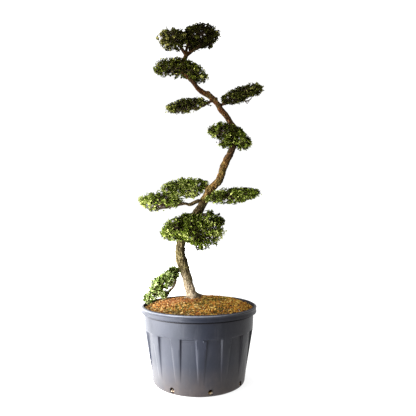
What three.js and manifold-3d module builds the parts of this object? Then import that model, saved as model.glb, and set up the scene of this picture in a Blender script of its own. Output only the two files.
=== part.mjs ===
// A tree trained in cloud pads, growing in a round ribbed container.
// Millimetres, +Z up. The origin is the middle of the container's base, on the ground.
// The tree's front faces -Y, and its pads spread along X.

import * as THREE from 'three';
import { mergeVertices } from 'three/addons/utils/BufferGeometryUtils.js';
import Module from 'manifold-3d';

const wasm = await Module();
wasm.setup();

// Driving dimensions

const CLEARANCE = 0.3; // between pieces that rest on or pass through each other
const MERGE_DISTANCE = 1e-3; // points closer than this are one

const POT = {
  height: 542,
  wall: 6,
  baseRadius: 325, // flat base
  footRadius: 334, // just above the rounded foot
  footHeight: 22,
  ledgeRadius: 380, // top of the sunken panels between the ribs
  ledgeHeight: 380, // where the panels and ribs end under the plain band
  ledgeSlope: 6,
  bandRadius: 394, // foot of the plain band, flush with the tops of the ribs
  bandTopRadius: 400,
  flare: 2, // of the inside at the mouth
  rimRadius: 422,
  rimHeight: 47,
  grooveDraft: 4, // how far the groove under the rim narrows on each side towards its top
  rimShoulder: { drop: 3, back: 5 }, // where the rim's outside turns in, below its top
  rimCrest: 12, // from the rim's outside to its flat top
};

const RIBS = {
  count: 14,
  firstAngle: -87.2, // degrees from +X
  topWidth: 72,
  footWidth: 30,
  footHeight: 78,
  flank: 8,
  points: 4, // of a ring, for each rib
};

const DRAIN = {
  count: 8,
  firstAngle: -75.5, // degrees from +X
  width: 34,
  height: 36,
  sill: 14, // height of its lower edge
  shoulder: 0.45, // share of its height where the arch starts
  narrowing: 0.8, // share of its width at the sill, and of the arch's pull to the sides
  cut: 36, // depth of the cut through the wall
};

const SOIL = {
  edgeHeight: 513,
  rise: 56,
  flatness: 4, // power of the mound's fall towards the edge
  ringShares: [0.87, 0.63, 0.32], // of the edge's radius
  crumb: 7,
  seed: 71,
};

const BARK = {
  trunkSides: 8,
  limbSides: 6,
  ridge: 0.045, // how far the ridges stand out, as a share of the radius
  twist: 0.16, // turn of the ridges from one guide point to the next
  capLength: 0.4, // of the rounded ends, as a share of the radius
};

const FOLIAGE = {
  inset: 18, // how much smaller a pad's core is than the pad
  stand: 25, // how far the leaves stand out of the core
  slender: 2.4, // the most that a leaf stands out, as a share of the half width of its foot
  lean: 1.3, // how far its tip leans over, as a share of the same
  wobble: 0.05, // unevenness of the core
  waves: new THREE.Vector3(9, 8, 4), // how fast it runs along each axis
  outward: 0.7, // how strongly a leaf leans away from the pad's middle
  upward: 0.4, // how strongly it leans up
  scatter: new THREE.Vector3(0.7, 0.7, 0.5), // how far its lean strays
  leastLean: 0.5,
  heightScatter: 0.35,
  near: 100, // leaves further apart than this can't meet
  drawBack: 0.2, // share of its height that a crossing leaf loses at a time
  touch: 0.001, // share of an edge that may lie in another leaf
  seed: 101,
};

const ROUGHNESS = { pot: 0.45, soil: 0.95, bark: 0.9, foliage: 0.6 };

const COLOUR = {
  pot: 0x464a55,
  soil: 0xa8763e,
  bark: 0x7a604a,
  darkFoliage: 0x26330f,
  midFoliage: 0x3d5a18,
  freshFoliage: 0x4f7a24,
};

// Woody parts: each guide point is x, y, z and the radius there

const TRUNK = [
  [-40, 95, 400, 26],
  [-42, 94, 470, 46],
  [-46, 92, 530, 60],
  [-52, 90, 572, 50],
  [-64, 90, 612, 41],
  [-90, 83, 706, 38],
  [-116, 75, 800, 42],
  [-131, 70, 845, 43],
  [-142, 64, 890, 39],
  [-144, 57, 945, 37],
  [-136, 50, 1003, 34],
  [-116, 45, 1062, 33],
  [-77, 40, 1131, 33],
  [-36, 35, 1190, 34],
  [-4, 30, 1232, 35],
  [24, 30, 1278, 34],
  [46, 28, 1325, 31],
  [74, 22, 1382, 31],
  [118, 15, 1426, 31],
  [150, 10, 1460, 29],
  [167, 5, 1504, 28],
  [181, 0, 1552, 28],
  [214, -8, 1620, 28],
  [249, -10, 1694, 27],
  [264, -4, 1745, 25],
  [273, 2, 1795, 23],
  [269, 7, 1846, 23],
  [244, 12, 1890, 23],
  [206, 15, 1950, 23],
  [161, 15, 2010, 23],
  [136, 10, 2049, 23],
  [106, 5, 2084, 22],
  [67, 0, 2112, 22],
  [25, -6, 2134, 21],
  [-9, -10, 2160, 19],
  [-58, -10, 2222, 17],
  [-97, -5, 2257, 16],
  [-126, 0, 2296, 15],
  [-134, 5, 2338, 15],
  [-120, 10, 2379, 15],
  [-104, 10, 2414, 15],
  [-101, 10, 2450, 14],
];

const BRANCHES = {
  forkRight: [[-101, 10, 2424, 15], [-58, 18, 2462, 13], [-12, 28, 2498, 11], [30, 40, 2552, 8]],
  forkLeft: [[-101, 10, 2424, 15], [-138, -6, 2474, 13], [-176, -28, 2510, 9]],
  forkMiddle: [[-104, 8, 2440, 13], [-92, 22, 2502, 11], [-68, 34, 2562, 7]],
  armLeft: [
    [142, 12, 2052, 14], [92, 0, 2064, 11], [20, -15, 2020, 10], [-46, -20, 2000, 8],
    [-140, -20, 1998, 6],
  ],
  armRight: [[146, 12, 2044, 14], [180, 15, 2044, 11], [234, 20, 2076, 9], [334, 20, 2118, 6]],
  waistRear: [[78, 22, 1386, 20], [30, 46, 1408, 14], [-125, 60, 1398, 7]],
  waistFront: [
    [30, 28, 1282, 22], [-4, 0, 1304, 16], [-66, -30, 1274, 13], [-112, -45, 1280, 12],
    [-213, -50, 1256, 9], [-300, -50, 1240, 6],
  ],
  waistRight: [[42, 24, 1312, 22], [96, 0, 1321, 14], [170, -28, 1328, 11], [300, -30, 1340, 6]],
  hanging: [
    [-118, 74, 832, 20], [-150, 66, 798, 12], [-190, 60, 736, 9], [-272, 50, 654, 7],
    [-335, 42, 596, 5],
  ],
  hangingTwig: [[-176, 62, 758, 8], [-176, 54, 696, 6], [-204, 48, 648, 5], [-246, 44, 610, 5]],
};

const ROOTS = {
  rearRight: [[-50, 95, 600, 30], [0, 150, 575, 20], [46, 205, 558, 14], [90, 250, 520, 9]],
  right: [[-48, 88, 585, 30], [10, 70, 552, 22], [70, 40, 515, 12]],
  front: [[-52, 84, 588, 30], [-42, 30, 552, 20], [-30, -30, 515, 11]],
  left: [[-58, 88, 588, 30], [-112, 66, 550, 20], [-170, 36, 512, 11]],
  rearLeft: [[-56, 94, 590, 30], [-96, 150, 552, 20], [-130, 200, 512, 11]],
};

// Foliage: a pad is the outline of its lobes, each given by its middle, its half sizes along,
// across and up, and its tilt in degrees. The first lobe holds the pad's middle. `fineness` sets how
// finely the leaf cover is divided

const PADS = {
  pad_crown_right: {
    colour: 'darkFoliage',
    fineness: 3,
    lobes: [
      { at: [12, 48, 2594], half: [156, 108, 93], tilt: 8 },
      { at: [-46, 60, 2545], half: [76, 66, 70], tilt: 0 },
    ],
  },
  pad_crown_left: {
    colour: 'darkFoliage',
    fineness: 2,
    lobes: [{ at: [-206, -42, 2519], half: [118, 100, 86], tilt: -6 }],
  },
  pad_neck: {
    colour: 'midFoliage',
    fineness: 3,
    lobes: [
      { at: [-140, 5, 2324], half: [130, 106, 72], tilt: -6 },
      { at: [-234, 10, 2330], half: [124, 100, 72], tilt: 4 },
      { at: [-48, 2, 2288], half: [136, 102, 70], tilt: -24 },
    ],
  },
  pad_arm_left: {
    colour: 'darkFoliage',
    fineness: 2,
    lobes: [{ at: [-99, -20, 2022], half: [172, 98, 54], tilt: 11 }],
  },
  pad_arm_right: {
    colour: 'darkFoliage',
    fineness: 2,
    lobes: [{ at: [328, 20, 2126], half: [184, 102, 60], tilt: 19 }],
  },
  pad_elbow: {
    colour: 'midFoliage',
    fineness: 3,
    lobes: [
      { at: [250, 0, 1812], half: [96, 96, 76], tilt: -20 },
      { at: [160, -12, 1834], half: [106, 88, 68], tilt: 5 },
      { at: [308, 0, 1766], half: [106, 88, 72], tilt: -42 },
      { at: [200, -14, 1756], half: [76, 64, 70], tilt: 0 },
    ],
  },
  pad_waist_rear: {
    colour: 'midFoliage',
    fineness: 3,
    lobes: [
      { at: [-108, 76, 1418], half: [190, 126, 72], tilt: 3 },
      { at: [-56, 64, 1384], half: [104, 92, 62], tilt: 12 },
    ],
  },
  pad_waist_front: {
    colour: 'midFoliage',
    fineness: 3,
    lobes: [{ at: [-272, -72, 1301], half: [178, 122, 73], tilt: 2 }],
  },
  pad_waist_right: {
    colour: 'midFoliage',
    fineness: 3,
    lobes: [{ at: [250, -34, 1340], half: [212, 132, 64], tilt: 6 }],
  },
  pad_skirt: {
    colour: 'midFoliage',
    fineness: 4,
    lobes: [
      { at: [-52, 24, 1098], half: [124, 138, 124], tilt: 0 },
      { at: [-162, 20, 1096], half: [138, 130, 92], tilt: 22 },
      { at: [56, 26, 1086], half: [138, 142, 146], tilt: 0 },
    ],
  },
  pad_hanging: {
    colour: 'freshFoliage',
    fineness: 3,
    lobes: [
      { at: [-280, 48, 682], half: [108, 68, 74], tilt: 43 },
      { at: [-213, 56, 744], half: [92, 62, 62], tilt: 42 },
      { at: [-332, 42, 622], half: [92, 62, 58], tilt: 46 },
      { at: [-272, 44, 612], half: [66, 56, 44], tilt: 10 },
    ],
  },
};

// Small helpers

const radians = THREE.MathUtils.degToRad;
const lerp = THREE.MathUtils.lerp;

function seededRandom(seed) {
  const range = 2 ** 32;
  const factor = 1664525;
  const step = 1013904223;
  let state = seed;
  return () => {
    state = (Math.imul(state, factor) + step) >>> 0;
    return state / range;
  };
}

function spread(random, amount) {
  return (random() * 2 - 1) * amount;
}

function toSolid(geometry) {
  const bare = geometry.clone();
  bare.deleteAttribute('normal');
  bare.deleteAttribute('uv');
  const merged = mergeVertices(bare, MERGE_DISTANCE);
  const vertProperties = Float32Array.from(merged.attributes.position.array);
  const triVerts = Uint32Array.from(merged.index.array);
  return new wasm.Manifold(new wasm.Mesh({ numProp: 3, vertProperties, triVerts }));
}

function toGeometry(solid) {
  const mesh = solid.getMesh();
  const geometry = new THREE.BufferGeometry();
  geometry.setAttribute('position', new THREE.BufferAttribute(mesh.vertProperties, 3));
  geometry.setIndex(new THREE.BufferAttribute(mesh.triVerts, 1));
  const flat = geometry.toNonIndexed();
  flat.computeVertexNormals();
  return flat;
}

// The main body of a joined solid, without loose scraps or the skins of sealed hollows
function mainBody(solid) {
  const bodies = solid.decompose();
  return bodies.reduce((best, body) => (body.volume() > best.volume() ? body : best));
}

// A closed body from equal rings of points, with a middle point at each end. Every quad is split
// along the diagonal that rises forward, so that both faces of a wall run alike
function ringBody(rings, firstMiddle, lastMiddle) {
  const count = rings[0].length;
  const points = [...rings.flat(), firstMiddle, lastMiddle];
  const first = points.length - 2;
  const last = points.length - 1;
  const faces = [];
  for (let column = 0; column < count; column += 1) {
    const next = (column + 1) % count;
    faces.push(first, next, column);
    for (let ring = 0; ring < rings.length - 1; ring += 1) {
      const low = ring * count;
      const high = low + count;
      if (rings[ring + 1][0].z >= rings[ring][0].z) {
        faces.push(low + column, low + next, high + next, low + column, high + next, high + column);
      } else {
        faces.push(low + column, low + next, high + column, low + next, high + next, high + column);
      }
    }
    const top = (rings.length - 1) * count;
    faces.push(last, top + column, top + next);
  }
  const geometry = new THREE.BufferGeometry();
  const positions = points.flatMap((point) => point.toArray());
  geometry.setAttribute('position', new THREE.Float32BufferAttribute(positions, 3));
  geometry.setIndex(faces);
  return geometry;
}

// Container

// One ring round the container, with its points evenly spread
function plainRing(z, radius) {
  const count = RIBS.count * RIBS.points;
  const beforeMiddle = (RIBS.points - 1) / 2;
  return Array.from({ length: count }, (unused, index) => {
    const angle = radians(RIBS.firstAngle) + ((index - beforeMiddle) / count) * 2 * Math.PI;
    return new THREE.Vector3(Math.cos(angle) * radius, Math.sin(angle) * radius, z);
  });
}

// One ring round the container where the panels lie at `panel` and the ribs at `rib`
function ribbedRing(z, panel, rib = panel) {
  const rise = Math.min((z - RIBS.footHeight) / (POT.ledgeHeight - RIBS.footHeight), 1);
  const halfWidth = lerp(RIBS.footWidth, RIBS.topWidth, rise) / 2;
  const halfRib = halfWidth / POT.ledgeRadius;
  const halfFoot = (halfWidth + RIBS.flank) / POT.ledgeRadius;
  const ring = [];
  for (let index = 0; index < RIBS.count; index += 1) {
    const middle = radians(RIBS.firstAngle) + (index / RIBS.count) * 2 * Math.PI;
    for (const [offset, radius] of [[-halfFoot, panel], [-halfRib, rib], [halfRib, rib], [halfFoot, panel]]) {
      const angle = middle + offset;
      ring.push(new THREE.Vector3(Math.cos(angle) * radius, Math.sin(angle) * radius, z));
    }
  }
  return ring;
}

// Radius of the sunken panels at a height below the ledge
function panelRadius(z) {
  const share = (z - POT.footHeight) / (POT.ledgeHeight - POT.footHeight);
  return lerp(POT.footRadius, POT.ledgeRadius, share);
}

// Radius of the inside of the mouth, above the foot of the rim
function mouthRadius(z) {
  const foot = POT.height - POT.rimHeight + POT.wall;
  const share = (z - foot) / (POT.height - foot);
  return lerp(POT.bandTopRadius - POT.wall, POT.bandTopRadius + POT.flare, share);
}

// Inside rings from the floor up to the mouth, drawn in by `inset` from the outer wall
function insideRings(floor, inset) {
  return [
    plainRing(floor, POT.baseRadius - inset),
    ribbedRing(RIBS.footHeight, panelRadius(RIBS.footHeight) - inset),
    ribbedRing(POT.ledgeHeight + inset, POT.ledgeRadius - inset, POT.bandRadius - inset),
    ribbedRing(POT.ledgeHeight + POT.ledgeSlope + inset, POT.bandRadius - inset),
    plainRing(POT.height - POT.rimHeight + inset, POT.bandTopRadius - inset),
  ];
}

function drainHole(index) {
  const outline = new THREE.Shape();
  const half = DRAIN.width / 2;
  const narrow = half * DRAIN.narrowing;
  const shoulder = DRAIN.height * DRAIN.shoulder;
  outline.moveTo(-narrow, 0);
  outline.lineTo(narrow, 0);
  outline.lineTo(half, shoulder);
  outline.quadraticCurveTo(narrow, DRAIN.height, 0, DRAIN.height);
  outline.quadraticCurveTo(-narrow, DRAIN.height, -half, shoulder);
  const extent = { depth: DRAIN.cut, bevelEnabled: false, curveSegments: 2 };
  const hole = new THREE.ExtrudeGeometry(outline, extent);
  hole.rotateX(Math.PI / 2);
  hole.rotateZ(Math.PI / 2);
  hole.translate(POT.footRadius - DRAIN.cut / 2, 0, DRAIN.sill);
  hole.rotateZ(radians(DRAIN.firstAngle) + (index * 2 * Math.PI) / DRAIN.count);
  return toSolid(hole);
}

function makePot() {
  const rimFoot = POT.height - POT.rimHeight;
  const skirtInside = POT.rimRadius - POT.wall;
  const groove = POT.height - 2 * POT.wall;
  const rings = [
    plainRing(0, POT.baseRadius),
    plainRing(POT.footHeight, POT.footRadius),
    ribbedRing(RIBS.footHeight, panelRadius(RIBS.footHeight)),
    ribbedRing(POT.ledgeHeight, POT.ledgeRadius, POT.bandRadius),
    ribbedRing(POT.ledgeHeight + POT.ledgeSlope, POT.bandRadius),
    plainRing(rimFoot, POT.bandTopRadius),
    plainRing(groove, POT.bandTopRadius + POT.grooveDraft),
    plainRing(groove, skirtInside - POT.grooveDraft),
    plainRing(rimFoot, skirtInside),
    plainRing(rimFoot, POT.rimRadius),
    plainRing(groove, POT.rimRadius),
    plainRing(POT.height - POT.rimShoulder.drop, POT.rimRadius - POT.rimShoulder.back),
    plainRing(POT.height, POT.rimRadius - POT.rimCrest),
    plainRing(POT.height, mouthRadius(POT.height)),
    ...insideRings(POT.wall, POT.wall).reverse(),
  ];
  const shell = ringBody(rings, new THREE.Vector3(0, 0, 0), new THREE.Vector3(0, 0, POT.wall));
  let solid = toSolid(shell);
  for (let index = 0; index < DRAIN.count; index += 1) {
    solid = solid.subtract(drainHole(index));
  }
  return mainBody(solid);
}

// Growing mix

function soilHeight(radius) {
  const share = radius / POT.bandRadius;
  return SOIL.edgeHeight + SOIL.rise * (1 - share ** SOIL.flatness);
}

function makeSoil(woodInSoil) {
  const random = seededRandom(SOIL.seed);
  const inset = POT.wall + CLEARANCE;
  const edge = mouthRadius(SOIL.edgeHeight) - CLEARANCE;
  const rings = [...insideRings(inset, inset), plainRing(SOIL.edgeHeight, edge)];
  for (const share of SOIL.ringShares) {
    const ring = plainRing(soilHeight(edge * share), edge * share);
    for (const point of ring) {
      point.z += spread(random, SOIL.crumb * share);
    }
    rings.push(ring);
  }
  const floor = new THREE.Vector3(0, 0, inset);
  const top = new THREE.Vector3(0, 0, soilHeight(0));
  return mainBody(toSolid(ringBody(rings, floor, top)).subtract(woodInSoil));
}

// Wood

// A limb along its guide points, with bark ridges that wind slowly round it
function limb(guide, sides, extra) {
  const places = guide.map(([x, y, z]) => new THREE.Vector3(x, y, z));
  const curve = new THREE.CatmullRomCurve3(places, false, 'centripetal');
  const frames = places.map((place, index) => curve.getTangent(index / (places.length - 1)));
  const side = new THREE.Vector3(0, 1, 0);
  const rings = places.map((place, index) => {
    const along = frames[index];
    side.addScaledVector(along, -side.dot(along)).normalize();
    const across = new THREE.Vector3().crossVectors(along, side);
    const ring = [];
    for (let column = 0; column < sides; column += 1) {
      const angle = (column / sides) * 2 * Math.PI + index * BARK.twist;
      const ridge = 1 + (column % 2 ? BARK.ridge : -BARK.ridge);
      const radius = guide[index][3] * ridge + extra;
      ring.push(place.clone()
        .addScaledVector(side, Math.cos(angle) * radius)
        .addScaledVector(across, Math.sin(angle) * radius));
    }
    return ring;
  });
  const firstCap = places[0].clone().addScaledVector(frames[0], -guide[0][3] * BARK.capLength - extra);
  const end = guide.length - 1;
  const lastCap = places[end].clone().addScaledVector(frames[end], guide[end][3] * BARK.capLength + extra);
  return toSolid(ringBody(rings, firstCap, lastCap));
}

function makeWood(extra) {
  let solid = limb(TRUNK, BARK.trunkSides, extra);
  for (const guide of [...Object.values(BRANCHES), ...Object.values(ROOTS)]) {
    solid = solid.add(limb(guide, BARK.limbSides, extra));
  }
  return mainBody(solid);
}

// Foliage

// Maps the unit ball to a lobe whose half sizes are smaller by `inset`
function lobeMatrix({ at, half, tilt }, inset = 0) {
  return new THREE.Matrix4()
    .makeTranslation(...at)
    .multiply(new THREE.Matrix4().makeRotationY(-radians(tilt)))
    .scale(new THREE.Vector3(...half).subScalar(inset));
}

// How far along a ray it leaves a lobe for the last time, or 0 where it misses the lobe
function exitDistance(lobe, origin, direction) {
  const toBall = lobeMatrix(lobe, FOLIAGE.inset).invert();
  const start = origin.clone().applyMatrix4(toBall);
  const step = origin.clone().add(direction).applyMatrix4(toBall).sub(start);
  const along = start.dot(step) / step.lengthSq();
  const inside = along ** 2 - (start.lengthSq() - 1) / step.lengthSq();
  return inside > 0 ? Math.sqrt(inside) - along : 0;
}

// The point of a pad's core in a direction given on the unit ball
function corePoint(lobes, middle, direction) {
  const [{ half, tilt }] = lobes;
  const ray = direction.clone().multiply(new THREE.Vector3(...half));
  ray.applyAxisAngle(new THREE.Vector3(0, 1, 0), -radians(tilt)).normalize();
  const reach = Math.max(...lobes.map((lobe) => exitDistance(lobe, middle, ray)));
  const wave = direction.clone().multiply(FOLIAGE.waves);
  const uneven = FOLIAGE.wobble * Math.sin(wave.x + wave.z) * Math.cos(wave.y);
  return middle.clone().addScaledVector(ray, reach * (1 + uneven));
}

// A leaf over one facet of a core: its tip leans up and outwards over the next facet
function leafOver(corners, middle, random) {
  const [a, b, c] = corners;
  const normal = new THREE.Vector3().crossVectors(b.clone().sub(a), c.clone().sub(a));
  const halfWidth = normal.length() / (a.distanceTo(b) + b.distanceTo(c) + c.distanceTo(a));
  normal.normalize();
  const foot = a.clone().add(b).add(c).divideScalar(3);
  const lean = foot.clone().sub(middle).setLength(FOLIAGE.outward);
  const stray = new THREE.Vector3(spread(random, 1), spread(random, 1), spread(random, 1));
  lean.add(stray.multiply(FOLIAGE.scatter));
  lean.z += FOLIAGE.upward;
  lean.addScaledVector(normal, -lean.dot(normal)).clampLength(FOLIAGE.leastLean, 1);
  const tallest = Math.min(FOLIAGE.stand, halfWidth * FOLIAGE.slender);
  const height = tallest * (1 + spread(random, FOLIAGE.heightScatter));
  const tip = foot.clone().addScaledVector(normal, height).addScaledVector(lean, halfWidth * FOLIAGE.lean);
  return { corners, foot, tip };
}

// Whether an edge of one leaf passes through a face of another
function cuts(one, other) {
  return one.corners.some((corner) => {
    const length = corner.distanceTo(one.tip);
    const edge = new THREE.Ray(corner, one.tip.clone().sub(corner).normalize());
    return other.corners.some((from, index) => {
      const to = other.corners[(index + 1) % other.corners.length];
      const hit = edge.intersectTriangle(from, to, other.tip, false, new THREE.Vector3());
      const share = hit ? hit.distanceTo(corner) / length : 0;
      return share > FOLIAGE.touch && share < 1 + FOLIAGE.touch;
    });
  });
}

// Draws leaves back towards their feet until none cuts another
function drawApart(leaves) {
  let cutting = leaves;
  while (cutting.length > 0) {
    cutting = leaves.filter((one) => leaves.some((other) => {
      const near = other !== one && one.foot.distanceTo(other.foot) < FOLIAGE.near;
      return near && (cuts(one, other) || cuts(other, one));
    }));
    for (const leaf of cutting) {
      leaf.tip.lerp(leaf.foot, FOLIAGE.drawBack);
    }
  }
}

function makePad({ lobes, fineness }, woodHole, seed) {
  const random = seededRandom(seed);
  const ball = new THREE.IcosahedronGeometry(1, fineness).attributes.position;
  const middle = new THREE.Vector3(...lobes[0].at);
  const leaves = [];
  for (let index = 0; index < ball.count; index += 3) {
    const corners = [0, 1, 2].map((corner) => {
      const direction = new THREE.Vector3().fromBufferAttribute(ball, index + corner);
      return corePoint(lobes, middle, direction);
    });
    leaves.push(leafOver(corners, middle, random));
  }
  drawApart(leaves);

  const points = leaves.flatMap(({ corners: [a, b, c], tip }) => [a, b, tip, b, c, tip, c, a, tip]);
  return mainBody(toSolid(new THREE.BufferGeometry().setFromPoints(points)).subtract(woodHole));
}

// Assembly

const tree = new THREE.Group();

function addPiece(name, solid, colour, roughness) {
  const material = new THREE.MeshStandardMaterial({ color: colour, roughness, metalness: 0 });
  const piece = new THREE.Mesh(toGeometry(solid), material);
  piece.name = name;
  tree.add(piece);
}

const wood = makeWood(0);
const woodHole = makeWood(CLEARANCE);

addPiece('pot', makePot(), COLOUR.pot, ROUGHNESS.pot);
addPiece('soil', makeSoil(woodHole), COLOUR.soil, ROUGHNESS.soil);
addPiece('trunk', wood, COLOUR.bark, ROUGHNESS.bark);
Object.keys(PADS).forEach((name, index) => {
  const pad = makePad(PADS[name], woodHole, FOLIAGE.seed + index);
  addPiece(name, pad, COLOUR[PADS[name].colour], ROUGHNESS.foliage);
});

export default tree;
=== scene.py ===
import math

import bmesh
import bpy
import numpy as np
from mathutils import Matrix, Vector, noise


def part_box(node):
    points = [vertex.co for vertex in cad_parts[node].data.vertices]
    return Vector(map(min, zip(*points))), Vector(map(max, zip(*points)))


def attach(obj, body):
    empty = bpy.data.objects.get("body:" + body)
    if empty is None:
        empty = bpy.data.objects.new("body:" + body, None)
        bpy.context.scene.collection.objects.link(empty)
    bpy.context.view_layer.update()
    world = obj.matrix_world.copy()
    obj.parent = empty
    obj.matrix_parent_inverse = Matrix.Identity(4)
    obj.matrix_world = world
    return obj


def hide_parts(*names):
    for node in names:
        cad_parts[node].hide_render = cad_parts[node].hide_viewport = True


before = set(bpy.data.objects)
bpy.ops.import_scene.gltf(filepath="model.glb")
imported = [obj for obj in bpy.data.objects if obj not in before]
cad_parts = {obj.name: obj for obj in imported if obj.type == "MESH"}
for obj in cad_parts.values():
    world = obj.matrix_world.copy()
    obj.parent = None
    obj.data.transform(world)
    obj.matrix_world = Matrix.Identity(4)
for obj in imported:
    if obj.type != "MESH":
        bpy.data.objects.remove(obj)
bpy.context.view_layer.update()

# Driving sizes, in metres, in the frame of the CAD part

POT_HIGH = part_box("pot")[1]
POT_HEIGHT = POT_HIGH.z
RIM_RADIUS = POT_HIGH.x
RIM_HEIGHT = 0.047
RIM_FOOT = POT_HEIGHT - RIM_HEIGHT
WALL = 0.006
BASE_RADIUS = 0.325
BASE_FLAT_RADIUS = BASE_RADIUS - 0.006
FOOT_RADIUS = 0.334
FOOT_HEIGHT = 0.022
LEDGE_RADIUS = 0.380
LEDGE_HEIGHT = 0.380
LEDGE_START = LEDGE_HEIGHT - 0.006
BAND_RADIUS = 0.394
BAND_TOP_RADIUS = 0.400
RIM_PROFILE = [  # the rolled rim in millimetres: in from its radius, up from its foot
    (12, 28), (8.5, 18), (7.5, 3), (6.5, 0.5), (4.5, -0.5), (2.2, 0.5), (1.2, 3), (1.4, 10), (2.6, 18),
    (3.6, 25), (3.4, 30), (1.2, 33.5), (0, 36), (0.4, 38), (2.2, 39.8), (5.2, 41), (9, 42.8), (12.5, 44.8),
    (16, 46.8), (17.2, 47), (18.2, 46.2), (18.6, 37), (20, 12),
]

RIB_COUNT = 14
RIB_FIRST_ANGLE = math.radians(-86.3)
RIB_TOP_WIDTH = 0.064
RIB_FOOT_WIDTH = 0.030
RIB_FOOT_HEIGHT = 0.078
RIB_FLANK = 0.009

MARK_RADIUS = 0.008
MARK_ANGLE = RIB_FIRST_ANGLE + 0.040

DRAIN_COUNT = 8
DRAIN_FIRST_ANGLE = math.radians(-75.5)
DRAIN_WIDTH = 0.034
DRAIN_HEIGHT = 0.036
DRAIN_SILL = 0.014
DRAIN_CHIPS = 14  # loose chips in each drain hole

SOIL_EDGE_HEIGHT = 0.513
SOIL_RISE = 0.058
SOIL_RADIUS = 0.396
SOIL_GAP = 0.0015  # between the mix and the inside of the wall
SOIL_FOOT_GAP = 0.034  # between the mix and the outside of the wall, at the drain holes
SOIL_SIDES = 168
CHIP_COUNT = 6600
MOSS_COUNT = 15000
MOSS_PATCHES = [  # x, y, radius, gain
    (0.12, -0.08, 0.17, 0.45), (-0.13, -0.28, 0.13, 0.2), (-0.22, 0.0, 0.17, -0.5),
]
RED_PATCH = (-0.15, -0.02, 0.565)
HOLLOW = (-0.20, 0.33, 0.20, 0.016)  # where the mix lies low behind on the left: x, y, radius, depth

CAMERA_PLACE = (0.0663, -2.977, 1.075)
CAMERA_PITCH = math.radians(3.368)
CAMERA_LENS = 34.49

ATLAS = 8  # cells along each side of the leaf and bark-chip maps

# Woody parts: guide points in millimetres as x, y, z and the radius there

TRUNK = [
    (-40, 95, 400, 26), (-42, 94, 470, 46), (-46, 92, 530, 60), (-52, 90, 572, 50),
    (-64, 90, 612, 41), (-90, 83, 706, 38), (-116, 75, 800, 42), (-131, 70, 845, 43),
    (-142, 64, 890, 39), (-144, 57, 945, 37), (-136, 50, 1003, 34), (-116, 45, 1062, 33),
    (-77, 40, 1131, 33), (-36, 35, 1190, 34), (-4, 30, 1232, 35), (24, 30, 1278, 34),
    (46, 28, 1325, 31), (74, 22, 1382, 31), (118, 15, 1426, 31), (150, 10, 1460, 29),
    (167, 5, 1504, 28), (181, 0, 1552, 28), (214, -8, 1620, 28), (249, -10, 1694, 27),
    (264, -4, 1745, 25), (273, 2, 1795, 23), (269, 7, 1846, 23), (244, 12, 1890, 23),
    (206, 15, 1950, 23), (161, 15, 2010, 23), (136, 10, 2049, 23), (106, 5, 2084, 22),
    (67, 0, 2112, 22), (25, -6, 2134, 21), (-9, -10, 2160, 19), (-58, -10, 2222, 17),
    (-97, -5, 2257, 16), (-126, 0, 2296, 16), (-134, 5, 2338, 17), (-120, 10, 2379, 18),
    (-104, 10, 2414, 18), (-101, 10, 2450, 15),
]

BRANCHES = {
    "fork_right": [(-101, 10, 2424, 15), (-58, 18, 2462, 13), (-12, 28, 2498, 11), (30, 40, 2552, 8)],
    "fork_left": [(-101, 10, 2424, 15), (-138, -6, 2474, 13), (-176, -28, 2510, 9)],
    "fork_middle": [(-104, 8, 2440, 13), (-92, 22, 2502, 11), (-68, 34, 2562, 7)],
    "arm_left": [
        (142, 12, 2052, 14), (92, 0, 2064, 11), (20, -15, 2020, 10), (-46, -20, 2000, 8),
        (-140, -20, 1998, 6),
    ],
    "arm_right": [(146, 12, 2044, 14), (180, 15, 2044, 11), (234, 20, 2076, 9), (334, 20, 2118, 6)],
    "waist_rear": [(78, 22, 1386, 20), (30, 46, 1408, 14), (-125, 60, 1398, 7)],
    "waist_front": [
        (30, 28, 1282, 22), (-4, 0, 1304, 16), (-66, -30, 1274, 13), (-112, -45, 1280, 12),
        (-213, -50, 1256, 9), (-300, -50, 1240, 6),
    ],
    "waist_right": [(42, 24, 1312, 22), (96, 0, 1321, 14), (170, -28, 1328, 11), (300, -30, 1340, 6)],
    "hanging": [
        (-118, 74, 832, 20), (-150, 66, 798, 12), (-190, 60, 736, 9), (-272, 50, 654, 7), (-335, 42, 596, 5),
    ],
    "hanging_twig": [
        (-176, 62, 758, 11.5), (-180, 56, 700, 11.5), (-189, 52, 671, 11), (-208, 48, 642, 10.5),
        (-236, 45, 614, 10),
    ],
}

ROOTS = [
    [(-50, 95, 600, 30), (0, 150, 575, 20), (46, 205, 558, 14), (90, 250, 520, 9)],
    [(-48, 88, 585, 30), (10, 70, 552, 22), (70, 40, 515, 12)],
    [(-52, 84, 588, 30), (-42, 30, 552, 20), (-30, -30, 515, 11)],
    [(-58, 88, 588, 30), (-112, 66, 550, 20), (-170, 36, 512, 11)],
    [(-56, 94, 590, 30), (-96, 150, 552, 20), (-130, 200, 512, 11)],
]

BARE_TWIGS = [  # four guide points each
    [(-190, -55, 1276), (-246, -96, 1264), (-284, -112, 1248), (-312, -112, 1220)],
    [(-246, -96, 1264), (-290, -104, 1262), (-330, -104, 1258), (-352, -100, 1236)],
    [(330, 24, 2092), (352, 22, 2070), (366, 20, 2052), (384, 20, 2074)],
    [(352, 22, 2070), (376, 20, 2074), (392, 20, 2086), (408, 20, 2106)],
    [(-92, -20, 2002), (-60, -22, 2006), (-30, -22, 2016), (10, -20, 2024)],
]

KNOTS = [
    (66, 0, 2124, 22), (84, -4, 2106, 18), (128, 4, 2080, 17), (188, 10, 2046, 14), (-138, 40, 884, 27),
    (-104, 50, 812, 20), (232, -4, 1898, 15), (-74, 66, 690, 19), (0, 20, 1236, 20), (150, 4, 1436, 18),
    (-122, 60, 760, 17),
]

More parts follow.
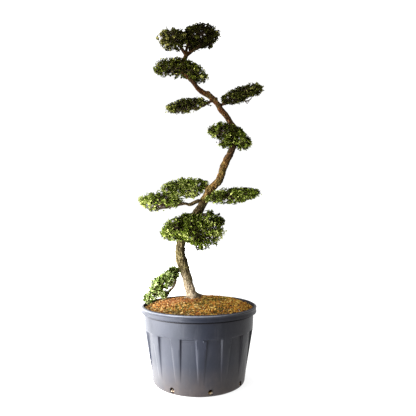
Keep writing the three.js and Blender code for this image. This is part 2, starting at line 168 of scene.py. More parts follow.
# Foliage pads: how lit the leaves are painted from 0 to 1, how closely the sprays stand, how far they may
# stray from the outline, the lobes as middle, half sizes and tilt in degrees, tufts that stand out of
# them as x, y, z and radius, gaps to see through as x, z and radius, and spots of painted light and
# shade on the leaves as x, z, radius and gain, all in millimetres. Gaps and spots lie where they are
# seen from the front on the upright plane through the middle of the plant

PADS = {
    "pad_crown_right": {
        "slot": "dark_foliage", "tone": 0.13, "density": 1.1, "stray": 0.07,
        "lobes": [((10, 48, 2598), (154, 108, 96), 5), ((-46, 60, 2545), (76, 66, 70), 0)],
        "tufts": [
            (-112, 24, 2572, 42), (-66, 34, 2486, 30), (150, 44, 2626, 24), (-110, 26, 2536, 34),
            (76, 44, 2524, 34), (-76, 44, 2648, 30),
        ],
        "gaps": [(16, 2567, 8), (42, 2582, 9), (-33, 2585, 7), (-90, 2508, 8), (-112, 2503, 8)],
        "lit": [(158, 2590, 32, 0.45), (-20, 2510, 60, 0.2), (110, 2520, 50, 0.15), (20, 2645, 80, -0.12)],
    },
    "pad_crown_left": {
        "slot": "dark_foliage", "tone": 0.41, "density": 0.8, "stray": 0.2,
        "lobes": [((-206, -42, 2519), (118, 100, 86), -6)],
        "tufts": [
            (-152, -20, 2588, 34), (-198, -40, 2600, 24), (-312, -42, 2540, 24), (-246, -42, 2456, 26),
            (-270, -42, 2592, 20), (-294, -42, 2516, 20),
        ],
        "gaps": [
            (-297, 2558, 9), (-306, 2540, 5), (-310, 2569, 7), (-227, 2626, 9), (-112, 2503, 8),
            (-165, 2492, 8), (-196, 2450, 16), (-152, 2480, 7),
        ],
        "lit": [(-305, 2568, 50, 0.4), (-262, 2500, 60, 0.2)],
    },
    "pad_neck": {
        "slot": "mid_foliage", "tone": 0.22, "density": 0.9, "stray": 0.12,
        "lobes": [
            ((-140, 5, 2324), (130, 106, 72), -6), ((-234, 10, 2330), (124, 100, 72), 4),
            ((-48, 2, 2288), (136, 102, 70), -24),
        ],
        "tufts": [
            (-335, 8, 2314, 24), (-152, 6, 2392, 22), (-188, 6, 2254, 24), (4, 2, 2340, 18),
            (-300, 8, 2282, 24),
        ],
        "gaps": [
            (-273, 2284, 8), (-221, 2276, 7), (-238, 2252, 12), (-148, 2258, 8), (3, 2283, 6),
            (-190, 2262, 6),
        ],
        "lit": [(-330, 2310, 36, 0.5), (10, 2280, 60, 0.35), (-62, 2330, 34, -0.15), (60, 2240, 50, 0.25)],
    },
    "pad_arm_left": {
        "slot": "dark_foliage", "tone": 0.34, "density": 1.1, "stray": 0.08,
        "lobes": [((-99, -20, 2022), (172, 98, 54), 11)],
        "tufts": [
            (20, -16, 2060, 30), (-80, -20, 1984, 20), (-196, -20, 1982, 22), (44, -10, 2052, 18),
            (82, -6, 2038, 20), (-254, -20, 1990, 18),
        ],
        "gaps": [(-37, 2026, 8), (-8, 2023, 6), (-96, 2001, 6), (-144, 1972, 8), (-60, 1988, 9)],
        "lit": [(-250, 1995, 50, 0.5), (-85, 1975, 30, 0.4), (10, 2040, 50, 0.2)],
    },
    "pad_arm_right": {
        "slot": "dark_foliage", "tone": 0.28, "density": 1.1, "stray": 0.08,
        "lobes": [((328, 20, 2126), (184, 102, 60), 19)],
        "tufts": [
            (188, 20, 2094, 26), (246, 20, 2058, 24), (204, 20, 2056, 20), (306, 20, 2052, 18),
            (450, 20, 2142, 30),
        ],
        "gaps": [(219, 2089, 8), (256, 2074, 8), (390, 2080, 16), (366, 2066, 12)],
        "lit": [(450, 2165, 60, 0.25), (300, 2050, 40, 0.2)],
    },
    "pad_elbow": {
        "slot": "mid_foliage", "tone": 0.29, "density": 0.95, "stray": 0.12,
        "lobes": [
            ((250, 0, 1812), (96, 96, 76), -20), ((160, -12, 1834), (106, 88, 68), 5),
            ((308, 0, 1766), (106, 88, 72), -42), ((200, -14, 1756), (76, 64, 70), 0),
        ],
        "tufts": [
            (182, -14, 1716, 24), (298, 0, 1700, 18), (352, 0, 1706, 22), (366, 0, 1752, 22),
            (304, 4, 1856, 18),
        ],
        "gaps": [(150, 1752, 14), (123, 1882, 6), (303, 1778, 6), (266, 1700, 12), (328, 1694, 8)],
        "lit": [(90, 1830, 50, 0.1), (200, 1840, 50, -0.2), (340, 1745, 60, 0.3), (215, 1800, 40, 0.1)],
    },
    "pad_waist_rear": {
        "slot": "mid_foliage", "tone": 0.54, "density": 1.0, "stray": 0.14,
        "lobes": [((-108, 76, 1418), (190, 126, 72), 3), ((-56, 64, 1384), (104, 92, 62), 12)],
        "tufts": [(44, 64, 1446, 30), (-290, 70, 1402, 24), (-20, 60, 1352, 22), (10, 60, 1464, 22)],
        "gaps": [
            (-71, 1381, 7), (-96, 1375, 6), (-33, 1387, 7), (-9, 1418, 7), (7, 1431, 7), (-246, 1392, 8),
            (-5, 1366, 8),
        ],
        "lit": [(-60, 1350, 70, 0.35), (-250, 1400, 50, 0.15)],
    },
    "pad_waist_front": {
        "slot": "mid_foliage", "tone": 0.53, "density": 0.8, "stray": 0.18,
        "lobes": [((-272, -72, 1301), (178, 122, 73), 2)],
        "tufts": [
            (-350, -66, 1240, 26), (-308, -90, 1226, 17), (-416, -68, 1314, 24), (-164, -60, 1268, 20),
        ],
        "gaps": [
            (-300, 1258, 10), (-275, 1262, 8), (-256, 1248, 12), (-345, 1268, 7), (-230, 1256, 8),
            (-390, 1276, 7), (-284, 1238, 12), (-206, 1256, 8), (-157, 1258, 7),
        ],
        "lit": [(-425, 1315, 60, 0.25), (-200, 1290, 60, 0.2), (-350, 1250, 50, 0.2)],
    },
    "pad_waist_right": {
        "slot": "mid_foliage", "tone": 0.36, "density": 1.0, "stray": 0.2,
        "lobes": [((250, -34, 1340), (212, 132, 64), 6)],
        "tufts": [
            (448, -30, 1366, 20), (180, -30, 1290, 18), (260, -30, 1282, 18), (60, -24, 1312, 22),
            (406, -30, 1376, 26), (340, -30, 1388, 18),
        ],
        "gaps": [(205, 1308, 9), (238, 1330, 7), (262, 1310, 8), (186, 1302, 7)],
        "lit": [(80, 1320, 60, 0.15), (300, 1290, 50, 0.2), (400, 1330, 60, 0.12)],
    },
    "pad_skirt": {
        "slot": "mid_foliage", "tone": 0.42, "density": 0.95, "stray": 0.2,
        "lobes": [
            ((-52, 24, 1098), (124, 138, 124), 0), ((-162, 20, 1096), (138, 130, 92), 22),
            ((58, 26, 1092), (136, 142, 134), 0),
        ],
        "tufts": [
            (84, 10, 1218, 30), (170, 20, 1156, 34), (-112, 10, 1196, 28), (-262, 20, 1052, 26),
            (-14, 12, 944, 26), (62, 20, 952, 24), (24, 16, 946, 24), (118, 20, 982, 22),
            (-214, 20, 1020, 22), (-44, 20, 996, 32), (-8, 20, 986, 34), (146, 14, 1204, 18),
            (-82, 16, 1000, 24),
        ],
        "gaps": [
            (122, 1107, 9), (103, 1104, 7), (98, 1030, 8), (166, 1107, 7), (66, 1089, 6), (-196, 1150, 7),
            (152, 1030, 6),
        ],
        "lit": [
            (-210, 1050, 70, 0.2), (-130, 1020, 50, 0.14), (80, 1140, 50, 0.2), (160, 1060, 60, 0.4),
            (-8, 1064, 45, -0.3), (10, 1025, 40, -0.25), (-132, 1114, 35, -0.25), (140, 1144, 30, -0.2),
            (-10, 956, 50, 0.05), (-66, 994, 40, 0.1),
        ],
    },
    "pad_hanging": {
        "slot": "fresh_foliage", "tone": 0.54, "density": 1.2, "stray": 0.36,
        "lobes": [
            ((-280, 48, 682), (108, 68, 74), 43), ((-213, 56, 744), (92, 62, 62), 42),
            ((-332, 42, 622), (92, 62, 58), 46), ((-272, 44, 612), (66, 56, 44), 10),
        ],
        "tufts": [
            (-352, 44, 700, 20), (-404, 40, 592, 24), (-412, 42, 562, 20), (-268, 46, 588, 24),
            (-200, 54, 690, 24), (-240, 38, 606, 22), (-380, 34, 552, 24), (-352, 30, 548, 18),
            (-334, 44, 722, 16), (-246, 50, 762, 26),
        ],
        "gaps": [(-256, 692, 5), (-257, 646, 8), (-341, 602, 5), (-236, 640, 6), (-222, 662, 5)],
        "lit": [
            (-340, 670, 50, 0.25), (-225, 688, 40, 0.3), (-260, 596, 36, 0.3), (-372, 600, 40, 0.25),
            (-170, 780, 40, -0.2), (-290, 690, 30, -0.25), (-262, 668, 26, -0.3), (-316, 640, 22, -0.3),
        ],
    },
}

WOOD_SIDES = 20
WOOD_STEP = 0.006
WOOD_VOXEL = 0.0034
BARK_RELIEF = 0.0058
RELIEF_GIRTH = 0.034  # the limb radius that has the full relief
LIMB_SHIFT = 0.3  # from limb to limb across the bark's pattern, so that no two look alike
POINT_BLOCK = 20000  # points of the bark that are worked out at a time
SHADED = (0.012, 0.008, 0.005, 1)
SUNLIT = (1.75, 1.66, 1.12, 1)
PAINTED_BARK_LIGHT = [  # painted shadow close under the pads and painted sunlight on the bare trunk
    (SHADED, "MIX", [  # x, y, z, radius, amount
        (0.256, -0.01, 1.705, 0.09, 0.7), (-0.05, -0.01, 2.215, 0.08, 0.5), (-0.13, 0.055, 0.955, 0.07, 0.2),
        (0.035, 0.0, 1.245, 0.07, 0.55),
    ]),
    (SUNLIT, "MULTIPLY", [
        (0.10, -0.01, 1.40, 0.08, 0.65), (0.04, 0.0, 1.325, 0.05, 0.75), (0.17, -0.02, 1.50, 0.06, 0.45),
        (0.20, -0.03, 1.585, 0.06, 0.45),
    ]),
]

LEAF_LENGTH = 0.0185
LEAF_WIDTH = 0.66  # share of the length
SPRAY_LENGTH = 0.062
LEAVES_ON_SPRAY = 9
FEWEST_LEAVES = 4  # a spray that would keep fewer leaves than this is left out
SPRAY_ROOM = 0.00036  # square metres of a pad's outline for each spray
INNER_SPRAYS = 0.3  # share of the sprays that stand deeper inside
SPRAY_START = 0.93  # how far out a spray may start, as a share of a lobe's size
BURIED = 0.78  # a spray that ends this deep in another lobe is left out
LEAF_REACH = 1.04  # how far the leaf tips reach, as a share of a lobe's size
CLUMPS = 26  # how quickly the cover swells and thins, in waves to the metre
PATCHES = 38  # how quickly paler and darker leaves take turns, in waves to the metre
LEAF_COLOURS = {
    "dark_foliage": [
        (0.0, (0.0050, 0.0042, 0.0006)), (0.3, (0.017, 0.020, 0.0026)), (0.6, (0.054, 0.072, 0.008)),
        (1.0, (0.36, 0.39, 0.095)),
    ],
    "mid_foliage": [
        (0.0, (0.0080, 0.0075, 0.0008)), (0.3, (0.034, 0.048, 0.0035)), (0.6, (0.115, 0.168, 0.012)),
        (1.0, (0.53, 0.58, 0.17)),
    ],
    "fresh_foliage": [
        (0.0, (0.018, 0.021, 0.004)), (0.3, (0.080, 0.117, 0.015)), (0.6, (0.205, 0.300, 0.062)),
        (1.0, (0.59, 0.68, 0.30)),
    ],
}


# Small helpers

def lerp(a, b, share):
    return a + (b - a) * share


def smooth(share):
    share = min(max(share, 0.0), 1.0)
    return share * share * (3 - 2 * share)


def unit(vectors):
    return vectors / np.maximum(np.linalg.norm(vectors, axis=-1, keepdims=True), 1e-9)


def turned(out, side, z, angle):
    """A point `out` from the upright axis and `side` across from there, turned about that axis."""
    cos = math.cos(angle)
    sin = math.sin(angle)
    return (out * cos - side * sin, out * sin + side * cos, z)


def circle(radius, z, count):
    return [turned(radius, 0, z, 2 * math.pi * i / count) for i in range(count)]


def noise_at(points, waves):
    return np.array([noise.noise(Vector(point * waves)) for point in points])


def new_object(name, data):
    made = bpy.data.objects.new(name, data)
    bpy.context.collection.objects.link(made)
    return made


def new_mesh(name, points, faces):
    mesh = bpy.data.meshes.new(name)
    mesh.from_pydata(points, [], faces)
    return new_object(name, mesh)


def new_piece(name, points, faces, slot, material, *replaced):
    piece = new_mesh(name, points, faces)
    piece.data.materials.append(material)
    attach(piece, "root")
    if replaced:
        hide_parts(*replaced)
    return piece


def ring_faces(rings, count):
    faces = []
    for low in range(0, (rings - 1) * count, count):
        for column in range(count):
            after = (column + 1) % count
            faces.append((low + column, low + after, low + count + after, low + count + column))
    return faces


def closed_faces(rings, count):
    """The walls between rings of points, with the first and the last ring closed."""
    first = tuple(reversed(range(count)))
    last = tuple(range((rings - 1) * count, rings * count))
    return [*ring_faces(rings, count), first, last]


def repeated_faces(faces, count, size):
    steps = np.arange(count)[:, None, None] * size
    return (np.array(faces)[None] + steps).reshape(-1, len(faces[0])).tolist()


def scatter(name, shape, places, axes, sizes, slot, material, *replaced):
    """A piece of many copies: places (n, 3), axes (n, 3, 3) with a row for each axis, sizes (n, 3)."""
    template, faces, _ = shape
    scaled = template[None, :, :] * sizes[:, None, :]
    points = (np.einsum("nkc,ncd->nkd", scaled, axes) + places[:, None, :]).reshape(-1, 3)
    all_faces = repeated_faces(faces, len(places), len(template))
    return new_piece(name, points.tolist(), all_faces, slot, material, *replaced)


def atlas_map(piece, shape, cells):
    """Gives each copy of a shape its own cell of the piece's map."""
    cells = np.asarray(cells)
    corner = np.stack([cells % ATLAS, cells // ATLAS], axis=1) / ATLAS
    inside = (0.08 + 0.84 * shape[2]) / ATLAS
    per_point = (corner[:, None, :] + inside[None, :, :]).reshape(-1, 2)
    loops = np.empty(len(piece.data.loops), np.int32)
    piece.data.loops.foreach_get("vertex_index", loops)
    layer = piece.data.uv_layers.new(name="OFBake")
    layer.data.foreach_set("uv", per_point[loops].astype(np.float32).ravel())


# Materials

class Value:
    """What a node gives, with plain arithmetic."""

    def __init__(self, graph, socket):
        self.graph = graph
        self.socket = socket

    def __add__(self, other):
        return self.graph.math("ADD", self, other)

    def __sub__(self, other):
        return self.graph.math("SUBTRACT", self, other)

    def __rsub__(self, other):
        return self.graph.math("SUBTRACT", other, self)

    def __mul__(self, other):
        return self.graph.math("MULTIPLY", self, other)


class Graph:
    """A node tree, built one node at a time."""

    def __init__(self, tree):
        self.tree = tree

    def put(self, socket, value):
        if isinstance(value, Value):
            self.tree.links.new(value.socket, socket)
        else:
            socket.default_value = value

    def node(self, kind, inputs=None, **settings):
        node = self.tree.nodes.new("ShaderNode" + kind)
        for key, value in settings.items():
            setattr(node, key, value)
        for key, value in (inputs or {}).items():
            self.put(node.inputs[key], value)
        return node

    def add(self, output, kind, inputs=None, **settings):
        """Adds a node and gives one of its outputs."""
        return Value(self, self.node(kind, inputs, **settings).outputs[output])

    def math(self, operation, first, second=0.0):
        return self.add(0, "Math", {0: first, 1: second}, operation=operation)

    def parts(self, vector):
        return [Value(self, socket) for socket in self.node("SeparateXYZ", {"Vector": vector}).outputs]

    def fade(self, value, start, end, high=1.0, low=0.0):
        """Goes from `low` to `high` while the value goes from `start` to `end`."""
        limits = {"From Min": start, "From Max": end, "To Min": low, "To Max": high}
        return self.add(0, "MapRange", {"Value": value, **limits})

    def near(self, place, point, radius, core, amount):
        """Goes from nothing at `radius` from a point to `amount` at `core` from it."""
        off = self.add("Value", "VectorMath", {0: place, 1: point}, operation="DISTANCE")
        return self.fade(off, radius, core, amount)

    def ramp(self, factor, stops):
        node = self.node("ValToRGB", {"Fac": factor})
        band = node.color_ramp
        while len(band.elements) < len(stops):
            band.elements.new(0.5)
        for element, (place, colour) in zip(band.elements, stops):
            element.position = place
            element.color = (*colour, 1)
        return Value(self, node.outputs["Color"])

    def mix(self, factor, first, second, blend="MIX"):
        inputs = {0: factor, 6: first, 7: second}
        return self.add(2, "Mix", inputs, data_type="RGBA", blend_type=blend)

    def noise(self, place, scale, detail=3.0, roughness=0.55):
        inputs = {"Vector": place, "Scale": scale, "Detail": detail, "Roughness": roughness}
        return self.add("Fac", "TexNoise", inputs)


class Surface(Graph):
    """A material with one shader, and where a point lies in the frame, as a vector and as x, y, z."""

    def __init__(self, name, roughness, specular=0.5):
        self.material = bpy.data.materials.new(name)
        self.material.use_nodes = True
        super().__init__(self.material.node_tree)
        self.shader = self.tree.nodes["Principled BSDF"].inputs
        self.shader["Roughness"].default_value = roughness
        self.shader["Specular IOR Level"].default_value = specular
        self.place = self.add("Object", "TexCoord")
        self.x, self.y, self.z = self.parts(self.place)

    def colour(self, value):
        self.put(self.shader["Base Color"], value)

    def bump(self, height, strength, distance):
        inputs = {"Height": height, "Strength": strength, "Distance": distance}
        self.put(self.shader["Normal"], self.add("Normal", "Bump", inputs))


def pot_material():
    """Satin plastic scuffed in streaks, dusty at the foot, with painted lip shadow and crest highlight."""
    skin = Surface("pot_plastic", 0.4)
    place, x, z, fade = skin.place, skin.x, skin.z, skin.fade
    broad = skin.noise(place, 5.0, 4.0)
    base = skin.ramp(broad, [(0.3, (0.008, 0.010, 0.017)), (0.7, (0.014, 0.016, 0.026))])
    long = skin.add("Vector", "Mapping", {"Vector": place, "Scale": (26, 26, 3)})
    streaks = skin.noise(long, 1.0, 5.0, 0.7)
    base = skin.mix(fade(streaks, 0.52, 0.74) * 0.08, base, (0.15, 0.15, 0.16, 1))
    dust = fade(z, 0.2, 0.0) * skin.noise(place, 14.0, 5.0, 0.65) * fade(x, -0.34, -0.18, low=0.25)
    base = skin.mix(dust * 0.39, base, (0.19, 0.135, 0.085, 1))
    # A painted highlight along the crest, strongest left of the middle, fading to the right and at the far
    # left
    crest = fade(z, POT_HEIGHT - 0.012, POT_HEIGHT - 0.008)
    painted_crest_highlight = fade(x, 0.3, -0.1, 1.4) * fade(x, -0.4, -0.16, low=0.3)
    base = skin.mix(crest * painted_crest_highlight * skin.noise(place, 18.0, 4.0), base, (0.33, 0.35, 0.41, 1))
    # Darker and browner towards the right, and duller below: painted shade, with some brown dirt
    shade_and_dirt_right = fade(x, 0.04, 0.3)
    base = skin.mix(shade_and_dirt_right * 0.3, base, (0.040, 0.032, 0.020, 1))

    # The inside of the rim above the mix is painted near black, and its gloss is cut below: painted shade
    level = skin.add(0, "VectorMath", {0: place, 1: (1, 1, 0)}, operation="MULTIPLY")
    radius = skin.add("Value", "VectorMath", {0: level}, operation="LENGTH")
    low_wall = skin.math("LESS_THAN", z, SOIL_EDGE_HEIGHT - 0.03)
    outer = skin.math("MAXIMUM", fade(radius, RIM_RADIUS - 0.011, RIM_RADIUS - 0.006), low_wall)
    base = skin.mix(outer, (0.022, 0.021, 0.024, 1), base)
    # A painted shadow in a band just under the lip, fainter to the left
    off_lip = skin.math("ABSOLUTE", z - (RIM_FOOT - 0.003))
    painted_lip_shadow = fade(off_lip, 0.008, 0.003) * fade(x, -0.34, -0.05, low=0.2)
    skin.colour(skin.mix(painted_lip_shadow, base, (0.003, 0.003, 0.004, 1)))

    # Reflections painted dimmer on the lip's left, on the lower left and on the right, and brighter high on
    # the left
    lip = fade(z, RIM_FOOT + 0.001, RIM_FOOT + 0.005) * fade(x, 0.0, -0.15, 0.35)
    low_left = fade(x, -0.25, -0.335, 0.95) * fade(z, 0.34, 0.2)
    high_left = fade(x, -0.32, -0.39) * fade(z, 0.34, 0.38)
    painted_reflection_dimming = lip + shade_and_dirt_right * 0.6 + low_left - high_left
    unshaded_share = (1.0 - painted_lip_shadow) * skin.math("MAXIMUM", outer, 0.2)
    skin.put(skin.shader["Specular IOR Level"], unshaded_share * ((1.0 - painted_reflection_dimming) * 0.36))
    skin.put(skin.shader["Roughness"], fade(streaks, 0.0, 1.0, 0.5, 0.3))
    skin.bump(skin.noise(place, 260.0, 3.0), 0.2, 0.0012)
    skin.shader["Specular Tint"].default_value = (0.88, 0.91, 1.0, 1)
    return skin.material


def bark_material():
    """Pale and flaky at the foot, olive tan above it, red-brown towards the top, dark on thin limbs."""
    skin = Surface("bark", 0.86, 0.05)
    place, x, z, fade = skin.place, skin.x, skin.z, skin.fade
    flow = skin.add("Vector", "Attribute", attribute_name="flow")
    girth = skin.add("Fac", "Attribute", attribute_name="girth")
    long = skin.add("Vector", "Mapping", {"Vector": flow, "Scale": (1, 1, 0.62)})
    ridge = skin.noise(long, 92.0, 6.0, 0.66)
    foot = skin.ramp(ridge, [
        (0.34, (0.35, 0.275, 0.19)), (0.5, (0.60, 0.49, 0.33)), (0.66, (0.78, 0.67, 0.52)),
    ])
    low = skin.ramp(ridge, [
        (0.36, (0.012, 0.008, 0.002)), (0.5, (0.086, 0.066, 0.025)), (0.64, (0.32, 0.265, 0.14)),
    ])
    high = skin.ramp(ridge, [
        (0.35, (0.008, 0.0035, 0.001)), (0.5, (0.068, 0.034, 0.012)), (0.65, (0.27, 0.150, 0.060)),
    ])
    bark = skin.mix(fade(z, 1.1, 1.5), skin.mix(fade(z, 0.6, 0.8), foot, low), high)
    bark = skin.mix(fade(z, 1.75, 2.0), bark, (0.74, 0.57, 0.50, 1), "MULTIPLY")
    # The side facing right is painted darker, less so at the foot: painted shade
    rightward = skin.parts(skin.add("Normal", "NewGeometry"))[0]
    painted_shade_right = fade(rightward, 0.12, 0.62, 0.72) * fade(z, 0.62, 0.85, low=0.5)
    bark = skin.mix(painted_shade_right, bark, (0.014, 0.009, 0.004, 1))
    moss = fade(skin.noise(place, 16.0, 4.0), 0.5, 0.66)
    bark = skin.mix(moss * 0.4, bark, (0.13, 0.12, 0.035, 1))
    plates = skin.add("Distance", "TexVoronoi", {"Vector": long, "Scale": 74.0}, feature="DISTANCE_TO_EDGE")
    crack = fade(plates, 0.09, 0.0)
    bark = skin.mix(crack * 0.45, bark, (0.016, 0.011, 0.007, 1))
    # Painted shadow under the pads and painted sunlight on the bare trunk
    for colour, blend, spots in PAINTED_BARK_LIGHT:
        for *point, radius, amount in spots:
            bark = skin.mix(skin.near(place, point, radius, 0.4 * radius, amount), bark, colour, blend)
    bark = skin.mix(fade(z, 0.594, 0.562, 0.6), bark, (0.21, 0.115, 0.05, 1))
    # The roots right of the foot's middle are painted dark: painted shade
    right_root_painted_shade = fade(x, -0.042, -0.012, 0.75) * skin.math("LESS_THAN", z, 0.64)
    bark = skin.mix(right_root_painted_shade, bark, (0.045, 0.028, 0.014, 1))
    skin.colour(skin.mix(fade(girth, 0.0145, 0.0095) * 0.8, bark, (0.035, 0.022, 0.013, 1)))
    skin.bump(ridge - crack * 0.35, 0.9, 0.004)
    return skin.material


def twig_material():
    skin = Surface("twig_bark", 0.8)
    grain = skin.noise(skin.place, 60.0, 3.0)
    skin.colour(skin.ramp(grain, [(0.3, (0.020, 0.011, 0.006)), (0.7, (0.090, 0.052, 0.028))]))
    skin.bump(grain, 0.4, 0.001)
    return skin.material


def cell_parts(skin):
    """The map's cell as a row from 0 to 1, a random number for it, and the place along and up in it."""
    uv = skin.add("UV", "UVMap", uv_map="OFBake")
    spread_out = skin.add(0, "VectorMath", {0: uv, 1: (ATLAS, ATLAS, 1)}, operation="MULTIPLY")
    cell = skin.add(0, "VectorMath", {0: spread_out}, operation="FLOOR")
    inside = skin.add(0, "VectorMath", {0: spread_out}, operation="FRACTION")
    chance = skin.add("Value", "TexWhiteNoise", {"Vector": cell}, noise_dimensions="2D")
    row = skin.math("DIVIDE", skin.parts(cell)[1], ATLAS - 1)
    return row, chance, *skin.parts(inside)[:2]


def leaf_material(name, stops):
    """Leaves run from shaded and old in the map's lowest row to lit and young in its highest."""
    skin = Surface(name, 0.55, 0.01)
    row, chance, along, up = cell_parts(skin)
    blade = skin.ramp(row + (chance - 0.5) * 0.22, stops)
    across = skin.math("ABSOLUTE", up - 0.5)
    midrib = skin.fade(across, 0.07, 0.0)
    veins = (skin.math("SINE", along * 44.0 - across * 30.0) + 1.0) * 0.5
    blade = skin.mix(veins * 0.22, blade, (0.0, 0.0, 0.0, 1))
    pale = skin.mix(0.5, blade, (0.42, 0.46, 0.10, 1))
    blade = skin.mix(midrib * 0.4, blade, pale)
    skin.colour(skin.mix(skin.fade(skin.z, 1.55, 2.3), blade, (1.0, 0.86, 0.95, 1), "MULTIPLY"))
    skin.bump(veins + midrib, 0.35, 0.0008)
    return skin.material


def chip_material():
    """Bark chips in the map's lower rows, moss in the two above them and grit in the highest."""
    skin = Surface("bark_chips", 0.9, 0.05)
    row, chance, along, up = cell_parts(skin)
    grain = skin.noise(skin.add(0, "CombineXYZ", {"X": along, "Y": up * 4.0, "Z": chance}), 6.0, 3.0)
    chip = skin.ramp(chance, [
        (0.0, (0.05, 0.016, 0.005)), (0.18, (0.28, 0.080, 0.018)), (0.42, (0.62, 0.24, 0.060)),
        (0.62, (0.70, 0.37, 0.085)), (0.82, (0.83, 0.53, 0.16)), (1.0, (0.97, 0.76, 0.38)),
    ])
    moss = skin.ramp(chance, [
        (0.0, (0.10, 0.095, 0.012)), (0.5, (0.34, 0.28, 0.045)), (1.0, (0.68, 0.58, 0.16)),
    ])
    grit = skin.ramp(chance, [(0.0, (0.66, 0.52, 0.38)), (1.0, (0.90, 0.80, 0.66))])
    colour = skin.mix(skin.math("GREATER_THAN", row, 0.64), chip, moss)
    shaded = skin.fade(skin.noise(skin.place, 7.0, 3.0), 0.45, 0.68)
    colour = skin.mix(shaded * 0.4, colour, (0.17, 0.06, 0.018, 1))
    # Painted shade towards the right, which also makes the chips there warmer and more olive
    painted_shade_right = skin.fade(skin.x, -0.25, 0.24)
    colour = skin.mix(painted_shade_right, colour, (0.90, 0.84, 0.46, 1), "MULTIPLY")
    colour = skin.mix(painted_shade_right * 0.28, colour, (0.15, 0.085, 0.010, 1))
    colour = skin.mix(skin.near(skin.place, RED_PATCH, 0.2, 0.05, 0.45), colour, (0.62, 0.22, 0.10, 1))
    colour = skin.mix(skin.math("GREATER_THAN", row, 0.93), colour, grit)
    skin.colour(skin.mix(grain * 0.6, colour, (0.05, 0.025, 0.012, 1)))
    skin.bump(grain, 0.5, 0.001)
    return skin.material


def soil_material():
    skin = Surface("growing_mix", 0.95, 0.15)
    crumbs = skin.node("TexVoronoi", {"Vector": skin.place, "Scale": 120.0}).outputs
    tint = skin.add(0, "SeparateColor", {"Color": Value(skin, crumbs["Color"])})
    skin.colour(skin.ramp(tint, [
        (0.0, (0.020, 0.009, 0.004)), (0.35, (0.07, 0.03, 0.012)), (0.7, (0.15, 0.08, 0.03)),
        (1.0, (0.30, 0.19, 0.08)),
    ]))
    skin.bump(Value(skin, crumbs["Distance"]) + skin.noise(skin.place, 90.0, 4.0), 0.9, 0.004)
    return skin.material


def floor_material():
    """A pale floor lit from below: evenly behind the container, more on its left and less in front."""
    skin = Surface("pale_floor", 0.9, 0.1)
    skin.shader["Base Color"].default_value = (0.25, 0.25, 0.25, 1)
    skin.shader["Emission Color"].default_value = (1, 1, 1, 1)
    behind = skin.fade(skin.y, -1.0, -0.62, 0.78, 0.15)
    not_far = skin.fade(skin.x + skin.y * 0.6, -1.6, -1.2)
    left = skin.fade(skin.x, 0.0, -0.52, 6.3) * not_far * skin.fade(skin.y, 0.1, 0.6, 0.4, 1.0)
    seen = skin.add("Is Camera Ray", "LightPath") * 0.8
    skin.put(skin.shader["Emission Strength"], skin.math("MAXIMUM", behind + left, seen))
    return skin.material


# Container

def column_offsets(half_width):
    """Angles across one pitch from the middle of a rib: closely spaced on its flanks."""
    half_pitch = math.pi / RIB_COUNT
    rib = half_width / LEDGE_RADIUS
    foot = (half_width + RIB_FLANK) / LEDGE_RADIUS
    flank = [lerp(rib, foot, share) for share in (0, 0.25, 0.5, 0.75, 1)]
    panel = [lerp(foot, half_pitch, share) for share in (0.08, 0.3, 0.65)]
    side = flank + panel
    return [-offset for offset in reversed(side)] + [-rib / 2, 0.0, rib / 2] + side + [half_pitch]


def wall_ring(z, panel, rib):
    """A ring round the container with its panels at one radius and its ribs at another."""
    rise = min(max((z - RIB_FOOT_HEIGHT) / (LEDGE_HEIGHT - RIB_FOOT_HEIGHT), 0), 1)
    half_width = lerp(RIB_FOOT_WIDTH, RIB_TOP_WIDTH, rise) / 2
    rib_angle = half_width / LEDGE_RADIUS
    foot_angle = (half_width + RIB_FLANK) / LEDGE_RADIUS
    ring = []
    for index in range(RIB_COUNT):
        middle = RIB_FIRST_ANGLE + index * 2 * math.pi / RIB_COUNT
        for offset in column_offsets(half_width):
            on_rib = smooth((foot_angle - abs(offset)) / (foot_angle - rib_angle))
            ring.append(turned(lerp(panel, rib, on_rib), 0, z, middle + offset))
    return ring


def panel_radius(z):
    return lerp(FOOT_RADIUS, LEDGE_RADIUS, (z - FOOT_HEIGHT) / (LEDGE_HEIGHT - FOOT_HEIGHT))


def rib_radius(z):
    rise = (z - RIB_FOOT_HEIGHT) / (LEDGE_HEIGHT - RIB_FOOT_HEIGHT)
    return max(lerp(panel_radius(RIB_FOOT_HEIGHT), BAND_RADIUS, rise), panel_radius(z))


def plain_rings():
    """Height and radius of the rings above the ledge, up the band, round the rim and down the inside."""
    rings = []
    for z in np.linspace(LEDGE_HEIGHT + 0.012, RIM_FOOT, 8):
        rings.append((z, lerp(BAND_RADIUS, BAND_TOP_RADIUS, (z - LEDGE_HEIGHT) / (RIM_FOOT - LEDGE_HEIGHT))))
    rings += [(RIM_FOOT + 0.012, BAND_TOP_RADIUS + 0.001), (RIM_FOOT + 0.024, BAND_TOP_RADIUS + 0.003)]
    rings += [(RIM_FOOT + rise / 1000, RIM_RADIUS - inset / 1000) for inset, rise in RIM_PROFILE]
    rings += [(RIM_FOOT + 0.006, BAND_TOP_RADIUS - WALL), (LEDGE_HEIGHT + 0.02, BAND_RADIUS - WALL)]
    for z in (LEDGE_HEIGHT - 0.01, RIB_FOOT_HEIGHT, WALL):
        rings.append((z, panel_radius(max(z, FOOT_HEIGHT)) - WALL))
    return rings


